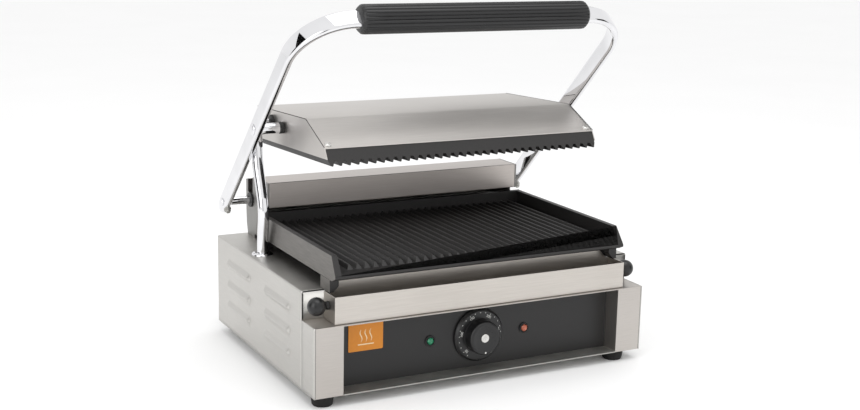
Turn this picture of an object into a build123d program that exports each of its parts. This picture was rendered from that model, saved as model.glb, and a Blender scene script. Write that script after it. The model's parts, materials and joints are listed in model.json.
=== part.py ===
from build123d import *
import math
import os

# Contact grill (panini press), millimetres. +Z up, front towards -Y, left is -X.
# Origin: centre of the footprint on the worktop, under the four rubber feet.
# The press is modelled open, with its upper plate lifted.

# ---------------------------------------------------------------- driving sizes
grill_width = 360        # over the side walls of the lower plate, at their tops
grill_depth = 220        # from the front of the side walls to the back wall
deck_border = 27         # deck showing each side of the lower plate
front_apron = 19.5       # body in front of the side walls
rear_space = 65.5        # body behind the back wall, under the hinge box
body_height = 108        # underside of the body to the deck
ledge_height = 77        # underside of the body to the tray ledge
ledge_depth = 36         # front of the body to the riser behind the tray
sheet = 1.2              # stainless sheet
fit = 0.3                # gap between bent sheets that meet without welding

foot_height = 12
foot_radius = 13
foot_taper = 1.5
foot_inset = 15.5
foot_screw_radius = 2.5

wing_width = 33.5        # bright panels each side of the control panel
panel_recess = 23        # control panel behind the face of the wings
panel_sheet = 1.5

rib_pitch = 10
rib_height = 5
rib_crest = 2
rib_foot = 7
lower_ribs = 33
upper_ribs = 34

plate_lift = 14          # deck to the underside of the lower plate
plate_floor = 10         # underside to the valleys between the ribs
wall_height = 16         # valleys to the top of the side walls
wall_top = 6.5
wall_draft = 2
lip_overhang = 13.5      # lip in front of the side walls
lip_drop = 3.5
lip_length = 9

hinge_rear_inset = 16.5  # hinge axis in front of the rear edge
hinge_above_deck = 45
link_length = 150        # hinge axis to the plate pivot
arm_length = 339         # hinge axis to the grip axis
open_angle = 44.3        # arms above the horizontal, open
plate_nose_up = 2.3      # upper plate tilt, open
crest_gap = 0.8          # between the two plates' crests, closed

bar_width = 21
bar_thickness = 8.2
bar_bend = 60
bar_tail = 16            # bar past the hinge axis
arm_gap = 28.3           # upper cover to the inner face of each arm
grip_radius = 15.75
grip_length = 278
flute_count = 24
flute_radius = 1.1

shaft_radius = 5
running_fit = 0.08
pin_radius = 4
pin_reach = 12           # pin past the cover's side, into the casting's lug
pin_head_radius = 7
pin_head_height = 2
spacer_radius = 6.2
washer_radius = 6.7
washer_thickness = 5.5
shaft_overhang = 1.5
set_screw_radius = 2
set_screw_head_radius = 4.5
set_screw_head_height = 5
collar_radius = 10
collar_width = 10

upper_side_gap = 3.5     # upper cover inside the lower plate's walls
upper_front_gap = 3.5    # upper plate's toe behind the lip edge, closed
upper_rear_gap = 18      # upper plate's heel in front of the back wall, closed
pivot_above_crests = 27.3
cover_rise = 17          # top of the cover above the pivot axis
cover_sheet = 1.2
cover_top_front = 62.2   # toe of the plate back to the front edge of the flat top
cover_top_heel = 5       # flat top reaches behind the heel
toe_height = 18.5        # height of the casting's sloping front
toe_slope = 11.6         # how far that front slopes back
side_skirt = 7           # casting below the cover's side panels
casting_slab = 8

box_front_overlap = 9.2  # hinge box in front of the back wall's outer face
box_flat = 42
box_top_above_deck = 75.7
box_face = 30
box_rear_drop = 8
box_half = 170
end_plate = 2

tray_height = 30
tray_depth = 30
tray_back_rise = 10
tray_corner = 9          # width of the bevel at each end of the tray's back
tray_corner_inset = 5.8
tray_half = 182.3
tray_sheet = 1
tray_front_inset = 4
ball_radius = 10
ball_gap = 13.7
ball_height = 17.5
ball_from_front = 17

knob_height = 38.5       # knob and lamps above the underside of the body
knob_skirt_radius = 30.5
knob_grip_radius = 19.5
knob_standoff = 0.6
knob_skirt_depth = 5
knob_depth = 19
spindle_radius = 3
lamp_offset = 60.3
lamp_radius = 4
bezel_radius = 5.2

hose_radius = 6.5
hose_gap = 2.3           # hose to the inner face of the arm
hose_hole_gap = 1.5
conduit_behind_pivot = 16.4
conduit_tail = 12        # conduit below the deck
conduit_straight = 7     # deck to the first bend
conduit_lean = 6         # first long run leans forward
conduit_knee_height = 54
conduit_hip_height = 100
conduit_hip_back = 15
conduit_top_back = 17.4
conduit_entry_rise = 1.5 # conduit's entry above the pivot axis
conduit_bends = (40, 40, 60, 14)
conduit_ring_radius = 12.5
ring_height = 3
ring_round = 1.8
bush_wall = 2
bush_bore = 7.5
bush_reach = 6
bush_tail = 4

badge_width = 41
badge_height = 33.5
badge_inset = 14.8
badge_drop = 4
badge_sheet = 0.8
badge_corner = 1.5
bezel_rim = 0.8
bezel_depth = 2
bezel_round = 0.7
lens_depth = 4.5
lens_round = 1.8
lamp_body = 22

louvre_length = 74
louvre_height = 9
louvre_depth = 3
louvre_columns = (77.5, -46)
louvre_rows = (32.5, 57.5, 83.5)
deck_opening_margin = 28
vent_width = 6
vent_length = 90
vent_pitch = 20
vent_count = 10

foot_far_inset = 27      # right front foot and both rear feet, in from the sides
foot_recess = 4
foot_recess_radius = 6
foot_head_radius = 4.8
foot_head_height = 2.5
foot_nut_radius = 4.5
foot_nut_height = 4
foot_screw_end = 8

rear_panel_inset = 10
rear_screw_columns = (-150, 0, 150)
rear_screw_drop = 12
rear_screw_radius = 1.5
rear_head_radius = 3.5
rear_head_height = 2
rear_screw_length = 6
rear_slots = 4
rear_slot_half = 80
rear_slot_height = 4
rear_slot_pitch = 12
rear_slot_first = 30     # lowest slot above the underside of the body
gland_x = 150
gland_height = 28
gland_radius = 8
gland_bore = 4.4
gland_flange_radius = 12
gland_flange = 3
gland_nose_radius = 8.8
gland_nose = 9
gland_tail = 8

thermostat_half = 17
thermostat_depth = 27
thermostat_corner = 5
bracket_half_width = 20
bracket_half_height = 10
bracket_sheet = 3
spindle_reach = 12       # spindle behind the panel
capillary_radius = 1
capillary_bend = 5
capillary_start = 10     # beside the spindle axis
capillary_run = 14
bulb_radius = 3
bulb_height = 9          # above the heat shield
bulb_x = 60
bulb_y = -20
bulb_length = 70
shield_drop = 22         # deck to the top of the heat shield
shield_sheet = 1
shield_inset = 12        # inside the plate's walls
shield_front = 42        # behind the riser
shield_rear = 20         # in front of the back wall
shield_hole = 2
pad_margin = 2
pad_front = 3
pad_thickness = 5

element_radius = 3.4
element_runs = 4
element_pitch = 42
element_reach = 120
element_bend = 19
element_gap = 0.2
element_shift = 2
upper_element_shift = 3
clamp_columns = (-60, 30)
clamp_half_width = 8
clamp_thickness = 3
clamp_reach = 8
clamp_stud_radius = 3
clamp_drop = 8
clamp_nut_radius = 6
clamp_nut_height = 5
terminal_box = (110, 170, 60, 80)
terminal_height = 18
terminal_count = 5
terminal_pitch = 12
terminal_screw_radius = 3
terminal_screw_depth = 8

block_width = 11
block_length = 25
block_rear_gap = 7
block_bevel_width = 6
block_bevel_height = 6.5

slot_front = 6.5         # lifting slot in each end plate, in front of the shaft axis
slot_rear = 10
slot_above_bush = 2
end_notch = (26, 12, 4.5)    # in front of the shaft axis: front, rear, height
end_foot_gap = 2
end_foot_rise = 3
end_foot_run = 8
end_heel = (5, 1.2, 14, 30)  # rear foot: two insets, two heights
bush_radius = 9
bush_pipe_radius = 6
bush_flange = 2
bush_length = 8
spring_wire = 2.2
spring_radius = 10
spring_turns = 9
spring_pitch = 5
spring_inset = 45
anchor_half_width = 8
anchor_sheet = 2
anchor_inset = 6
anchor_gap = 1

stud_radius = 2.5
stud_inset = 5
stud_nut_radius = 4.5
stud_nut_height = 3
neck_radius = 4.5
grip_chamfer = 3
grip_fit = 0.2
bar_edge = 3.4

lug_half_width = 10
lug_top = 9
lug_inset = 0.5
wool_inset = 30
wool_front = 8
wool_heel = 12
wool_gap = 1
wool_drop = 8
cover_screw_inset = 6.5
cover_screw_up = 6       # up the slope from its foot
cover_screw_radius = 1.8
cover_head_radius = 4
cover_head_height = 2.4
toe_land = 0.5
toe_root = 5
cover_lap = 1

skirt_bevel = 2.4
grip_round = 2.5
dish_sphere = 60
dish_depth = 2.2
cap_radius = 5
cap_depth = 2
spindle_depth = 5        # spindle's end behind the cap

# ---------------------------------------------------------------- derived places
body_width = grill_width + 2 * deck_border
body_depth = front_apron + grill_depth + rear_space
half_width = body_width / 2
half_depth = body_depth / 2
base_z = foot_height
deck_z = base_z + body_height
ledge_z = base_z + ledge_height
riser_y = -half_depth + ledge_depth
panel_y = -half_depth + panel_recess
wing_inner = half_width - wing_width

wall_front = -half_depth + front_apron
wall_rear = wall_front + grill_depth
plate_half = grill_width / 2
wall_inner = plate_half - wall_top
plate_under = deck_z + plate_lift
valley_z = plate_under + plate_floor
crest_z = valley_z + rib_height
wall_z = valley_z + wall_height
lip_y = wall_front - lip_overhang

hinge_y = half_depth - hinge_rear_inset
hinge_z = deck_z + hinge_above_deck
closed_pivot_z = crest_z + crest_gap + pivot_above_crests
closed_angle = math.degrees(math.asin((closed_pivot_z - hinge_z) / link_length))
closed_pivot_y = hinge_y - link_length * math.cos(math.radians(closed_angle))

along = Vector(0, -math.cos(math.radians(open_angle)), math.sin(math.radians(open_angle)))
across = Vector(0, math.sin(math.radians(open_angle)), math.cos(math.radians(open_angle)))
hinge = Vector(0, hinge_y, hinge_z)
pivot = hinge + along * link_length
grip_centre = hinge + along * arm_length

cover_half = wall_inner - upper_side_gap
casting_half = cover_half - cover_sheet - fit
arm_inner = cover_half + arm_gap
arm_centre = arm_inner + bar_thickness / 2
arm_outer = arm_inner + bar_thickness

# the upper assembly is drawn level, with the pivot axis at y = 0, z = 0
toe = lip_y + upper_front_gap - closed_pivot_y
heel = wall_rear - wall_top - upper_rear_gap - closed_pivot_y
tips = -pivot_above_crests
toe_top = tips + toe_height
cover_flat_front = toe + cover_top_front
cover_flat_rear = heel + cover_top_heel
skirt_z = tips + side_skirt
slab_top = tips + rib_height + casting_slab

box_front = wall_rear - box_front_overlap
box_top = deck_z + box_top_above_deck
box_rear = half_depth
box_slope = box_front + box_flat

tray_front = -half_depth + tray_front_inset
tray_rear = tray_front + tray_depth
ball_y = tray_front + ball_from_front
ball_z = ledge_z + ball_height
knob_z = base_z + knob_height
knob_back = panel_y - knob_standoff
knob_face = knob_back - knob_depth
gland_z = base_z + gland_height
shield_z = deck_z - shield_drop
bulb_z = shield_z + bulb_height
panel_back = panel_y + panel_sheet
rear_y = half_depth - rear_panel_inset
element_z = plate_under - element_radius - element_gap
element_middle = (riser_y + wall_rear) / 2 + element_shift
hose_x = -(arm_inner - hose_gap - hose_radius)
ring_y = pivot.Y + conduit_behind_pivot
hose_end = Vector(-cover_half - cover_lap, ring_y + conduit_top_back, pivot.Z + conduit_entry_rise)
hose_entry = (hose_end - pivot).rotate(Axis.X, plate_nose_up)

LEFT_RIGHT = (-1, 1)
FOOT_PLACES = (
    (-half_width + foot_inset, -half_depth + foot_inset),
    (half_width - foot_far_inset, -half_depth + foot_inset),
    (-half_width + foot_far_inset, half_depth - foot_inset),
    (half_width - foot_far_inset, half_depth - foot_inset),
)


# ---------------------------------------------------------------- small helpers
def block(x0, x1, y0, y1, z0, z1):
    """A box between two corners."""
    return Pos(x0, y0, z0) * Box(x1 - x0, y1 - y0, z1 - z0, align=(Align.MIN,) * 3)


def side_prism(points, x0, x1):
    """A prism along X from an outline in Y and Z."""
    return extrude(Plane.YZ.offset(x0) * Polygon(*points, align=None), amount=x1 - x0, dir=(1, 0, 0))


def front_prism(points, y0, y1):
    """A prism along Y from an outline in X and Z."""
    return extrude(Plane.XZ.offset(-y0) * Polygon(*points, align=None), amount=y1 - y0, dir=(0, 1, 0))


def rod_x(x0, x1, y, z, radius):
    """A cylinder along X."""
    return Pos((x0 + x1) / 2, y, z) * Rot(0, 90, 0) * Cylinder(radius, x1 - x0)


def rod_y(x, y0, y1, z, radius):
    """A cylinder along Y."""
    return Pos(x, (y0 + y1) / 2, z) * Rot(90, 0, 0) * Cylinder(radius, y1 - y0)


def rod_z(x, y, z0, z1, radius):
    """A cylinder along Z."""
    return Pos(x, y, z0) * Cylinder(radius, z1 - z0, align=(Align.CENTER, Align.CENTER, Align.MIN))


def rod(start, end, radius):
    """A cylinder from one point to another."""
    way = end - start
    return Plane(origin=start, z_dir=way) * Cylinder(
        radius, way.length, align=(Align.CENTER, Align.CENTER, Align.MIN)
    )


def sweep_round(path, radius):
    """A round rod along a path."""
    return sweep(Plane(origin=path @ 0, z_dir=path % 0) * Circle(radius), path=path)


def pan_head(start, way, radius, height, shank_radius, shank_length):
    """A screw: a domed head outside start, and a plain shank the other way."""
    way = way.normalized()
    head = rod(start, start + way * height, radius)
    head = fillet(head.edges().sort_by(Axis(start, way))[-1], height * 0.6)
    return head + rod(start - way * shank_length, start, shank_radius)


def group(parts):
    """Separate solids kept in one node."""
    return Compound(children=[s for p in parts for s in p.solids()])


def lifted(shape):
    """Moves a piece of the upper assembly from its level drawing to its open place."""
    return Pos(pivot.X, pivot.Y, pivot.Z) * Rot(-plate_nose_up, 0, 0) * shape


# ---------------------------------------------------------------- body
def louvre(side, y, z):
    """A pressed hood on a side wall, and the slot that it leaves: (hood, slot)."""
    wall = half_width
    outline = [
        (wall - sheet, z + louvre_height / 2),
        (wall, z + louvre_height / 2),
        (wall + louvre_depth, z - louvre_height / 2),
        (wall + louvre_depth - sheet, z - louvre_height / 2),
        (wall - sheet, z + louvre_height / 2 - 2 * sheet),
    ]
    cheek = outline[:4] + [(wall - sheet, z - louvre_height / 2)]
    ends = [
        front_prism([(side * a, b) for a, b in cheek], y + e - sheet / 2, y + e + sheet / 2)
        for e in (-louvre_length / 2, louvre_length / 2)
    ]
    hood = front_prism([(side * a, b) for a, b in outline], y - louvre_length / 2, y + louvre_length / 2)
    inner, outer = sorted((side * (wall - 2 * sheet), side * (wall + sheet)))
    slot = block(inner, outer, y - louvre_length / 2, y + louvre_length / 2,
                 z - louvre_height / 2, z + louvre_height / 2)
    return hood + ends[0] + ends[1], slot


def housing_shell():
    """Deck, riser and both side walls, bent from stainless sheet."""
    outline = [(-half_depth, base_z), (half_depth, base_z), (half_depth, deck_z),
               (riser_y, deck_z), (riser_y, ledge_z), (-half_depth, ledge_z)]
    shell = side_prism(outline, -half_width, half_width)
    shell -= block(-half_width + sheet, half_width - sheet, riser_y + sheet, half_depth + sheet,
                   base_z - sheet, deck_z - sheet)
    shell -= block(-half_width + sheet, half_width - sheet, -half_depth - sheet, riser_y + 2 * sheet,
                   base_z - sheet, ledge_z + sheet)
    shell -= block(-wall_inner + deck_opening_margin, wall_inner - deck_opening_margin,
                   riser_y + deck_opening_margin, wall_rear - deck_opening_margin,
                   deck_z - 2 * sheet, deck_z + sheet)
    shell -= rod_z(hose_x, ring_y, deck_z - 2 * sheet, deck_z + sheet, hose_radius + hose_hole_gap)
    for side in LEFT_RIGHT:
        for y in louvre_columns:
            for z in louvre_rows:
                hood, slot = louvre(side, y, base_z + z)
                shell = shell - slot + hood
    return shell


def front_frame():
    """Tray ledge, wing faces and their returns, one bent sheet."""
    inner = half_width - sheet
    frame = block(-inner, inner, -half_depth, riser_y + sheet, ledge_z - sheet, ledge_z)
    for side in LEFT_RIGHT:
        x0, x1 = sorted((side * wing_inner, side * inner))
        frame += block(x0, x1, -half_depth, -half_depth + sheet, base_z, ledge_z - sheet)
        x0, x1 = sorted((side * wing_inner, side * (wing_inner + sheet)))
        frame += block(x0, x1, -half_depth, panel_y + panel_sheet, base_z, ledge_z - sheet)
    return frame


def base_plate():
    """Bottom sheet with vent slots and foot holes; its front edge is the sill."""
    inner = half_width - sheet
    plate = block(-inner, inner, -half_depth + sheet, half_depth - sheet, base_z, base_z + sheet)
    notch_x = wing_inner + sheet
    for side in LEFT_RIGHT:
        x0, x1 = sorted((side * wing_inner, side * notch_x))
        plate -= block(x0, x1, -half_depth, panel_y + panel_sheet, base_z - sheet, base_z + 2 * sheet)
    sill = block(-wing_inner, wing_inner, -half_depth, -half_depth + sheet, base_z, base_z + sheet)
    plate += sill
    first = -vent_pitch * (vent_count - 1) / 2
    for i in range(vent_count):
        x = first + i * vent_pitch - vent_width / 2
        plate -= block(x, x + vent_width, -vent_length / 2, vent_length / 2,
                       base_z - sheet, base_z + 2 * sheet)
    for x, y in FOOT_PLACES:
        plate -= rod_z(x, y, base_z - sheet, base_z + 2 * sheet, foot_screw_radius + fit)
    return plate


def rubber_feet():
    """Four tapered rubber feet, recessed underneath for their screws."""
    feet = []
    for x, y in FOOT_PLACES:
        foot = Pos(x, y, 0) * Cone(
            foot_radius - foot_taper, foot_radius, foot_height, align=(Align.CENTER, Align.CENTER, Align.MIN))
        foot -= rod_z(x, y, 0, foot_recess, foot_recess_radius)
        foot -= rod_z(x, y, 0, foot_height, foot_screw_radius + fit)
        feet.append(foot)
    return group(feet)


def foot_screws():
    """A screw up through each foot, with its nut on the bottom sheet."""
    screws = []
    for x, y in FOOT_PLACES:
        screw = rod_z(x, y, foot_recess - foot_head_height, foot_recess, foot_head_radius)
        screw += rod_z(x, y, foot_recess, base_z + sheet + foot_screw_end, foot_screw_radius)
        nut = Pos(x, y, base_z + sheet) * extrude(RegularPolygon(foot_nut_radius, 6), amount=foot_nut_height)
        screws.append(screw + nut)
    return group(screws)


def rear_panel():
    """Rear closing sheet, set in, with the mains gland's hole and two slots."""
    y = rear_y
    panel = block(-half_width + sheet, half_width - sheet, y - sheet, y, base_z + sheet, deck_z - sheet)
    panel -= rod_y(gland_x, y - 2 * sheet, y + sheet, gland_z, gland_radius)
    for x in rear_screw_columns:
        panel -= rod_y(x, y - 2 * sheet, y + sheet, deck_z - rear_screw_drop, rear_screw_radius)
    for i in range(rear_slots):
        z = base_z + rear_slot_first + rear_slot_pitch * i
        panel -= block(-rear_slot_half, rear_slot_half, y - 2 * sheet, y + sheet, z, z + rear_slot_height)
    return panel


def mains_gland():
    """Black bush in the rear panel where the mains cord goes in."""
    y = rear_y
    gland = rod_y(gland_x, y, y + gland_flange, gland_z, gland_flange_radius)
    gland += rod_y(gland_x, y + gland_flange, y + gland_nose, gland_z, gland_nose_radius)
    gland += rod_y(gland_x, y - gland_tail, y, gland_z, gland_radius)
    return gland - rod_y(gland_x, y - gland_tail, y + gland_nose, gland_z, gland_bore)


def panel_hole_places():
    """(x, radius) of the lamp holes in the control panel."""
    return [(-lamp_offset, lamp_radius), (lamp_offset, lamp_radius)]


def control_panel():
    """Black panel between the wings."""
    inner = wing_inner
    panel = block(-inner, inner, panel_y, panel_y + panel_sheet, base_z + sheet, ledge_z - sheet)
    for x, radius in panel_hole_places():
        panel -= rod_y(x, panel_y - sheet, panel_y + 2 * panel_sheet, knob_z, radius)
    return panel - rod_y(0, panel_y - sheet, panel_y + 2 * panel_sheet, knob_z, spindle_radius + 1)


def panel_badge():
    """Plain coloured plate at the left end of the control panel."""
    x = -wing_inner + badge_inset
    z = ledge_z - sheet - badge_drop
    badge = block(x, x + badge_width, panel_y - badge_sheet, panel_y, z - badge_height, z)
    return fillet(badge.edges().filter_by(Axis.Y), badge_corner)


def lamp_bezels():
    """Black rings round the two lamps."""
    rings = []
    for x, radius in panel_hole_places():
        ring = rod_y(x, panel_y - bezel_depth, panel_y, knob_z, bezel_radius + bezel_rim)
        ring = fillet(ring.edges().sort_by(Axis.Y)[0], bezel_round)
        rings.append(ring - rod_y(x, panel_y - 2 * bezel_depth, panel_y, knob_z, radius))
    return group(rings)


def lamp_lens(x):
    """Faceted lens with its body behind the panel."""
    lens = rod_y(x, panel_y - lens_depth, panel_y + lamp_body, knob_z, lamp_radius)
    return fillet(lens.edges().sort_by(Axis.Y)[0], lens_round)


def thermostat_body():
    """Capillary thermostat behind the panel, bored for its spindle."""
    half = thermostat_half
    front = panel_back + bracket_sheet
    body = block(-half, half, front, front + thermostat_depth, knob_z - half, knob_z + half)
    body = fillet(body.edges().filter_by(Axis.Y), thermostat_corner)
    bracket = block(-bracket_half_width, bracket_half_width, panel_back, front,
                    knob_z - bracket_half_height, knob_z + bracket_half_height)
    bore = rod_y(0, panel_back - sheet, panel_back + spindle_reach, knob_z, spindle_radius + running_fit)
    return body + bracket - bore


def thermostat_probe():
    """Copper capillary from the thermostat to its bulb under the lower plate."""
    y = panel_back + bracket_sheet + thermostat_depth
    back = y + capillary_run
    bulb_front = bulb_y - bulb_length / 2
    path = FilletPolyline((capillary_start, y, knob_z), (capillary_start, back, knob_z),
                          (capillary_start, back, bulb_z), (bulb_x, back, bulb_z),
                          (bulb_x, bulb_front, bulb_z), radius=capillary_bend)
    bulb = rod_y(bulb_x, bulb_front, bulb_front + bulb_length, bulb_z, bulb_radius)
    return sweep_round(path, capillary_radius) + bulb


def heat_shield():
    """Aluminium tray that keeps the heat off the wiring."""
    x = wall_inner - shield_inset
    y0 = riser_y + shield_front
    y1 = wall_rear - shield_rear
    shield = block(-x, x, y0, y1, shield_z - shield_sheet, shield_z)
    for y in (y0, y1 - shield_sheet):
        shield += block(-x, x, y, y + shield_sheet, shield_z, deck_z - sheet)
    return shield - rod_y(bulb_x, y0 - shield_sheet, y0 + 2 * shield_sheet, bulb_z, shield_hole)


def insulation_pad():
    """Mineral-wool slab on the heat shield."""
    x = wall_inner - shield_inset - pad_margin
    return block(-x, x, riser_y + shield_front + pad_front, wall_rear - shield_rear - pad_front,
                 shield_z, shield_z + pad_thickness)

def element_path(y_mid, z):
    """Serpentine centreline of a tubular heating element, in the plane z."""
    first = y_mid - element_pitch * (element_runs - 1) / 2
    points = []
    for i in range(element_runs):
        y = first + i * element_pitch
        ends = (-element_reach, element_reach) if i % 2 == 0 else (element_reach, -element_reach)
        points += [(ends[0], y, z), (ends[1], y, z)]
    return FilletPolyline(*points, radius=element_bend)


def lower_heating_element():
    """Tubular element clamped against the underside of the lower plate."""
    return sweep_round(element_path(element_middle, element_z), element_radius)


def element_clamps():
    """Two flat bars under the lower element, each on a stud and nut."""
    middle = element_middle
    reach = element_pitch * (element_runs - 1) / 2 + clamp_reach
    z = element_z - element_radius - element_gap
    bars = []
    for x in clamp_columns:
        bar = block(x - clamp_half_width, x + clamp_half_width, middle - reach, middle + reach,
                    z - clamp_thickness, z)
        bar += rod_z(x, middle, z - clamp_drop, plate_under, clamp_stud_radius)
        bar += Pos(x, middle, z - clamp_drop) * extrude(RegularPolygon(clamp_nut_radius, 6),
                                                        amount=clamp_nut_height)
        bars.append(bar)
    return group(bars)

def plate_supports():
    """Four blocks that carry the lower plate; their inner lower edges clear the tray's corners."""
    outer = plate_half + wall_draft
    inner = outer - block_width
    section = [(inner, plate_under), (outer, plate_under), (outer, deck_z),
               (inner + block_bevel_width, deck_z), (inner, deck_z + block_bevel_height)]
    blocks = []
    for side in LEFT_RIGHT:
        for y in (wall_front, wall_rear - block_rear_gap - block_length):
            blocks.append(front_prism([(side * x, z) for x, z in section], y, y + block_length))
    return group(blocks)


# ---------------------------------------------------------------- lower plate
def rib_outline(count, base, height, end):
    """Points of a row of ribs along X, from -end to +end, rising by height from base."""
    points = [(-end, base)]
    for i in range(count):
        x = (i - (count - 1) / 2) * rib_pitch
        points += [(x - rib_foot / 2, base), (x - rib_crest / 2, base + height),
                   (x + rib_crest / 2, base + height), (x + rib_foot / 2, base)]
    return points + [(end, base)]


def lower_grill_plate():
    """Ribbed cast-iron plate with a wall on three sides and an open lip in front."""
    foot = plate_half + wall_draft
    floor = [(-foot, plate_under), (foot, plate_under), (plate_half, wall_z), (wall_inner, wall_z)]
    floor += list(reversed(rib_outline(lower_ribs, valley_z, rib_height, wall_inner)))
    floor += [(-wall_inner, wall_z), (-plate_half, wall_z)]
    plate = front_prism(floor, lip_y, wall_rear)
    back = [(wall_rear - wall_top, plate_under), (wall_rear + wall_draft, plate_under),
            (wall_rear, wall_z), (wall_rear - wall_top, wall_z)]
    plate += side_prism(back, -plate_half, plate_half)
    rib_end = lip_y + lip_length
    over_lip = [(rib_end + rib_height, crest_z + 1), (rib_end, valley_z), (lip_y - 1, valley_z - lip_drop),
                (lip_y - 1, crest_z + 1)]
    plate -= side_prism(over_lip, -wall_inner, wall_inner)
    over_wall = [(wall_front, wall_z), (lip_y, valley_z - lip_drop), (lip_y - 1, valley_z - lip_drop),
                 (lip_y - 1, wall_z + 1), (wall_front, wall_z + 1)]
    plate -= side_prism(over_wall, -foot - 1, foot + 1)
    under_lip = [(lip_y - 1, valley_z - lip_drop - 3), (lip_y, valley_z - lip_drop - 3),
                 (lip_y + 8, plate_under), (lip_y + 8, plate_under - 1), (lip_y - 1, plate_under - 1)]
    return plate - side_prism(under_lip, -foot - 1, foot + 1)


# ---------------------------------------------------------------- hinge box

def box_outline(inset):
    """The hinge box in Y and Z, inset by a sheet thickness."""
    return [(box_front + inset, box_top - box_face), (box_front + inset, box_top - inset),
            (box_slope, box_top - inset), (box_rear - inset, box_top - box_rear_drop - inset),
            (box_rear - inset, deck_z)]


def hinge_box_cover():
    """Bright cover of the hinge: face, flat top, sloping back edge and rear."""
    half = box_half - end_plate
    outer = box_outline(0)
    inner = [(box_rear - sheet, deck_z)] + list(reversed(box_outline(sheet)[:4]))
    return side_prism(outer + inner, -half, half)


def hinge_end_plates():
    """End plates of the hinge box, which carry the shaft; each has a lifting slot."""
    plates = []
    foot_front = wall_rear + wall_draft + end_foot_gap
    heel_in, heel_out, heel_low, heel_high = end_heel
    outline = [(foot_front, deck_z + end_foot_rise), (foot_front + end_foot_run, deck_z),
               (box_rear - heel_in, deck_z), (box_rear - heel_out, deck_z + heel_low),
               (box_rear, deck_z + heel_high), (box_rear, box_top - box_rear_drop), (box_slope, box_top),
               (box_front, box_top), (box_front, box_top - box_face), (foot_front, box_top - box_face - 2)]
    notch_front, notch_rear, notch_height = end_notch
    for side in LEFT_RIGHT:
        x0, x1 = sorted((side * box_half, side * (box_half - end_plate)))
        plate = side_prism(outline, x0, x1)
        plate -= block(x0, x1, hinge_y - slot_front, hinge_y + slot_rear,
                       hinge_z + bush_pipe_radius + slot_above_bush, box_top + sheet)
        plate -= block(x0, x1, hinge_y - notch_front, hinge_y - notch_rear,
                       deck_z - sheet, deck_z + notch_height)
        plates.append(plate - rod_x(x0, x1, hinge_y, hinge_z, bush_pipe_radius))
    return group(plates)


def hinge_bushes():
    """Flanged bushes pressed into the end plates for the shaft."""
    bushes = []
    for side in LEFT_RIGHT:
        a, b = sorted((side * box_half, side * (box_half - end_plate - bush_length)))
        c, d = sorted((side * box_half, side * (box_half + bush_flange)))
        bush = rod_x(a, b, hinge_y, hinge_z, bush_pipe_radius) + rod_x(c, d, hinge_y, hinge_z, bush_radius)
        bore = rod_x(-arm_inner, arm_inner, hinge_y, hinge_z, shaft_radius + running_fit)
        bushes.append(bush - bore)
    return group(bushes)


def spring_place(side):
    """X range of the coil of one counterbalance spring."""
    start = box_half - spring_inset
    length = spring_turns * spring_pitch
    return sorted((side * start, side * (start - length)))


def counter_springs():
    """Two torsion springs round the shaft that carry the weight of the upper plate."""
    springs = []
    for side in LEFT_RIGHT:
        x0, x1 = spring_place(side)
        coil = Helix(spring_pitch, x1 - x0, spring_radius, direction=(1, 0, 0))
        wire = sweep(Plane(origin=coil @ 0, z_dir=coil % 0) * Circle(spring_wire), path=coil, is_frenet=True)
        springs.append(Pos(x0, hinge_y, hinge_z) * wire)
    return group(springs)


def spring_anchor():
    """Folded rail on the deck that the springs' fixed ends bear on."""
    z = hinge_z - spring_radius - spring_wire - anchor_gap
    half = box_half - end_plate - anchor_inset
    front = hinge_y - anchor_half_width
    rail = block(-half, half, front, hinge_y + anchor_half_width, deck_z, deck_z + anchor_sheet)
    return rail + block(-half, half, front, front + anchor_sheet, deck_z, z)


# ---------------------------------------------------------------- conduit
def conduit_ring():
    """Bright flange on the deck that holds the foot of the conduit."""
    ring = rod_z(hose_x, ring_y, deck_z, deck_z + ring_height, conduit_ring_radius)
    ring = fillet(ring.edges().sort_by(Axis.Z)[-1], ring_round)
    return ring - rod_z(hose_x, ring_y, deck_z, deck_z + ring_height, hose_radius + fit)


def conduit_path():
    """Centreline of the conduit: up from the deck, back behind the pivot, into the cover's side."""
    return FilletPolyline(
        (hose_x, ring_y, deck_z - conduit_tail),
        (hose_x, ring_y, deck_z + conduit_straight),
        (hose_x, ring_y - conduit_lean, deck_z + conduit_knee_height),
        (hose_x, ring_y + conduit_hip_back, deck_z + conduit_hip_height),
        (hose_x, hose_end.Y, hose_end.Z),
        (hose_end.X, hose_end.Y, hose_end.Z),
        radius=conduit_bends,
    )


def conduit_hose():
    """Smooth bright conduit that carries the wires to the upper element."""
    return sweep_round(conduit_path(), hose_radius)


def terminal_block():
    """Screw terminals inside the body for the wiring."""
    x0, x1, y0, y1 = terminal_box
    top = base_z + sheet + terminal_height
    strip = block(x0, x1, y0, y1, base_z + sheet, top)
    for i in range(terminal_count):
        x = (x0 + x1) / 2 + (i - (terminal_count - 1) / 2) * terminal_pitch
        strip -= rod_z(x, (y0 + y1) / 2, top - terminal_screw_depth, top + sheet, terminal_screw_radius)
    return strip


# ---------------------------------------------------------------- handle
def bar_section(origin, way, w, t, corner):
    """Rounded section of the handle bar, wide way across the U."""
    return Plane(origin=origin, x_dir=across, z_dir=way) * RectangleRounded(w, t, corner)


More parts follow.
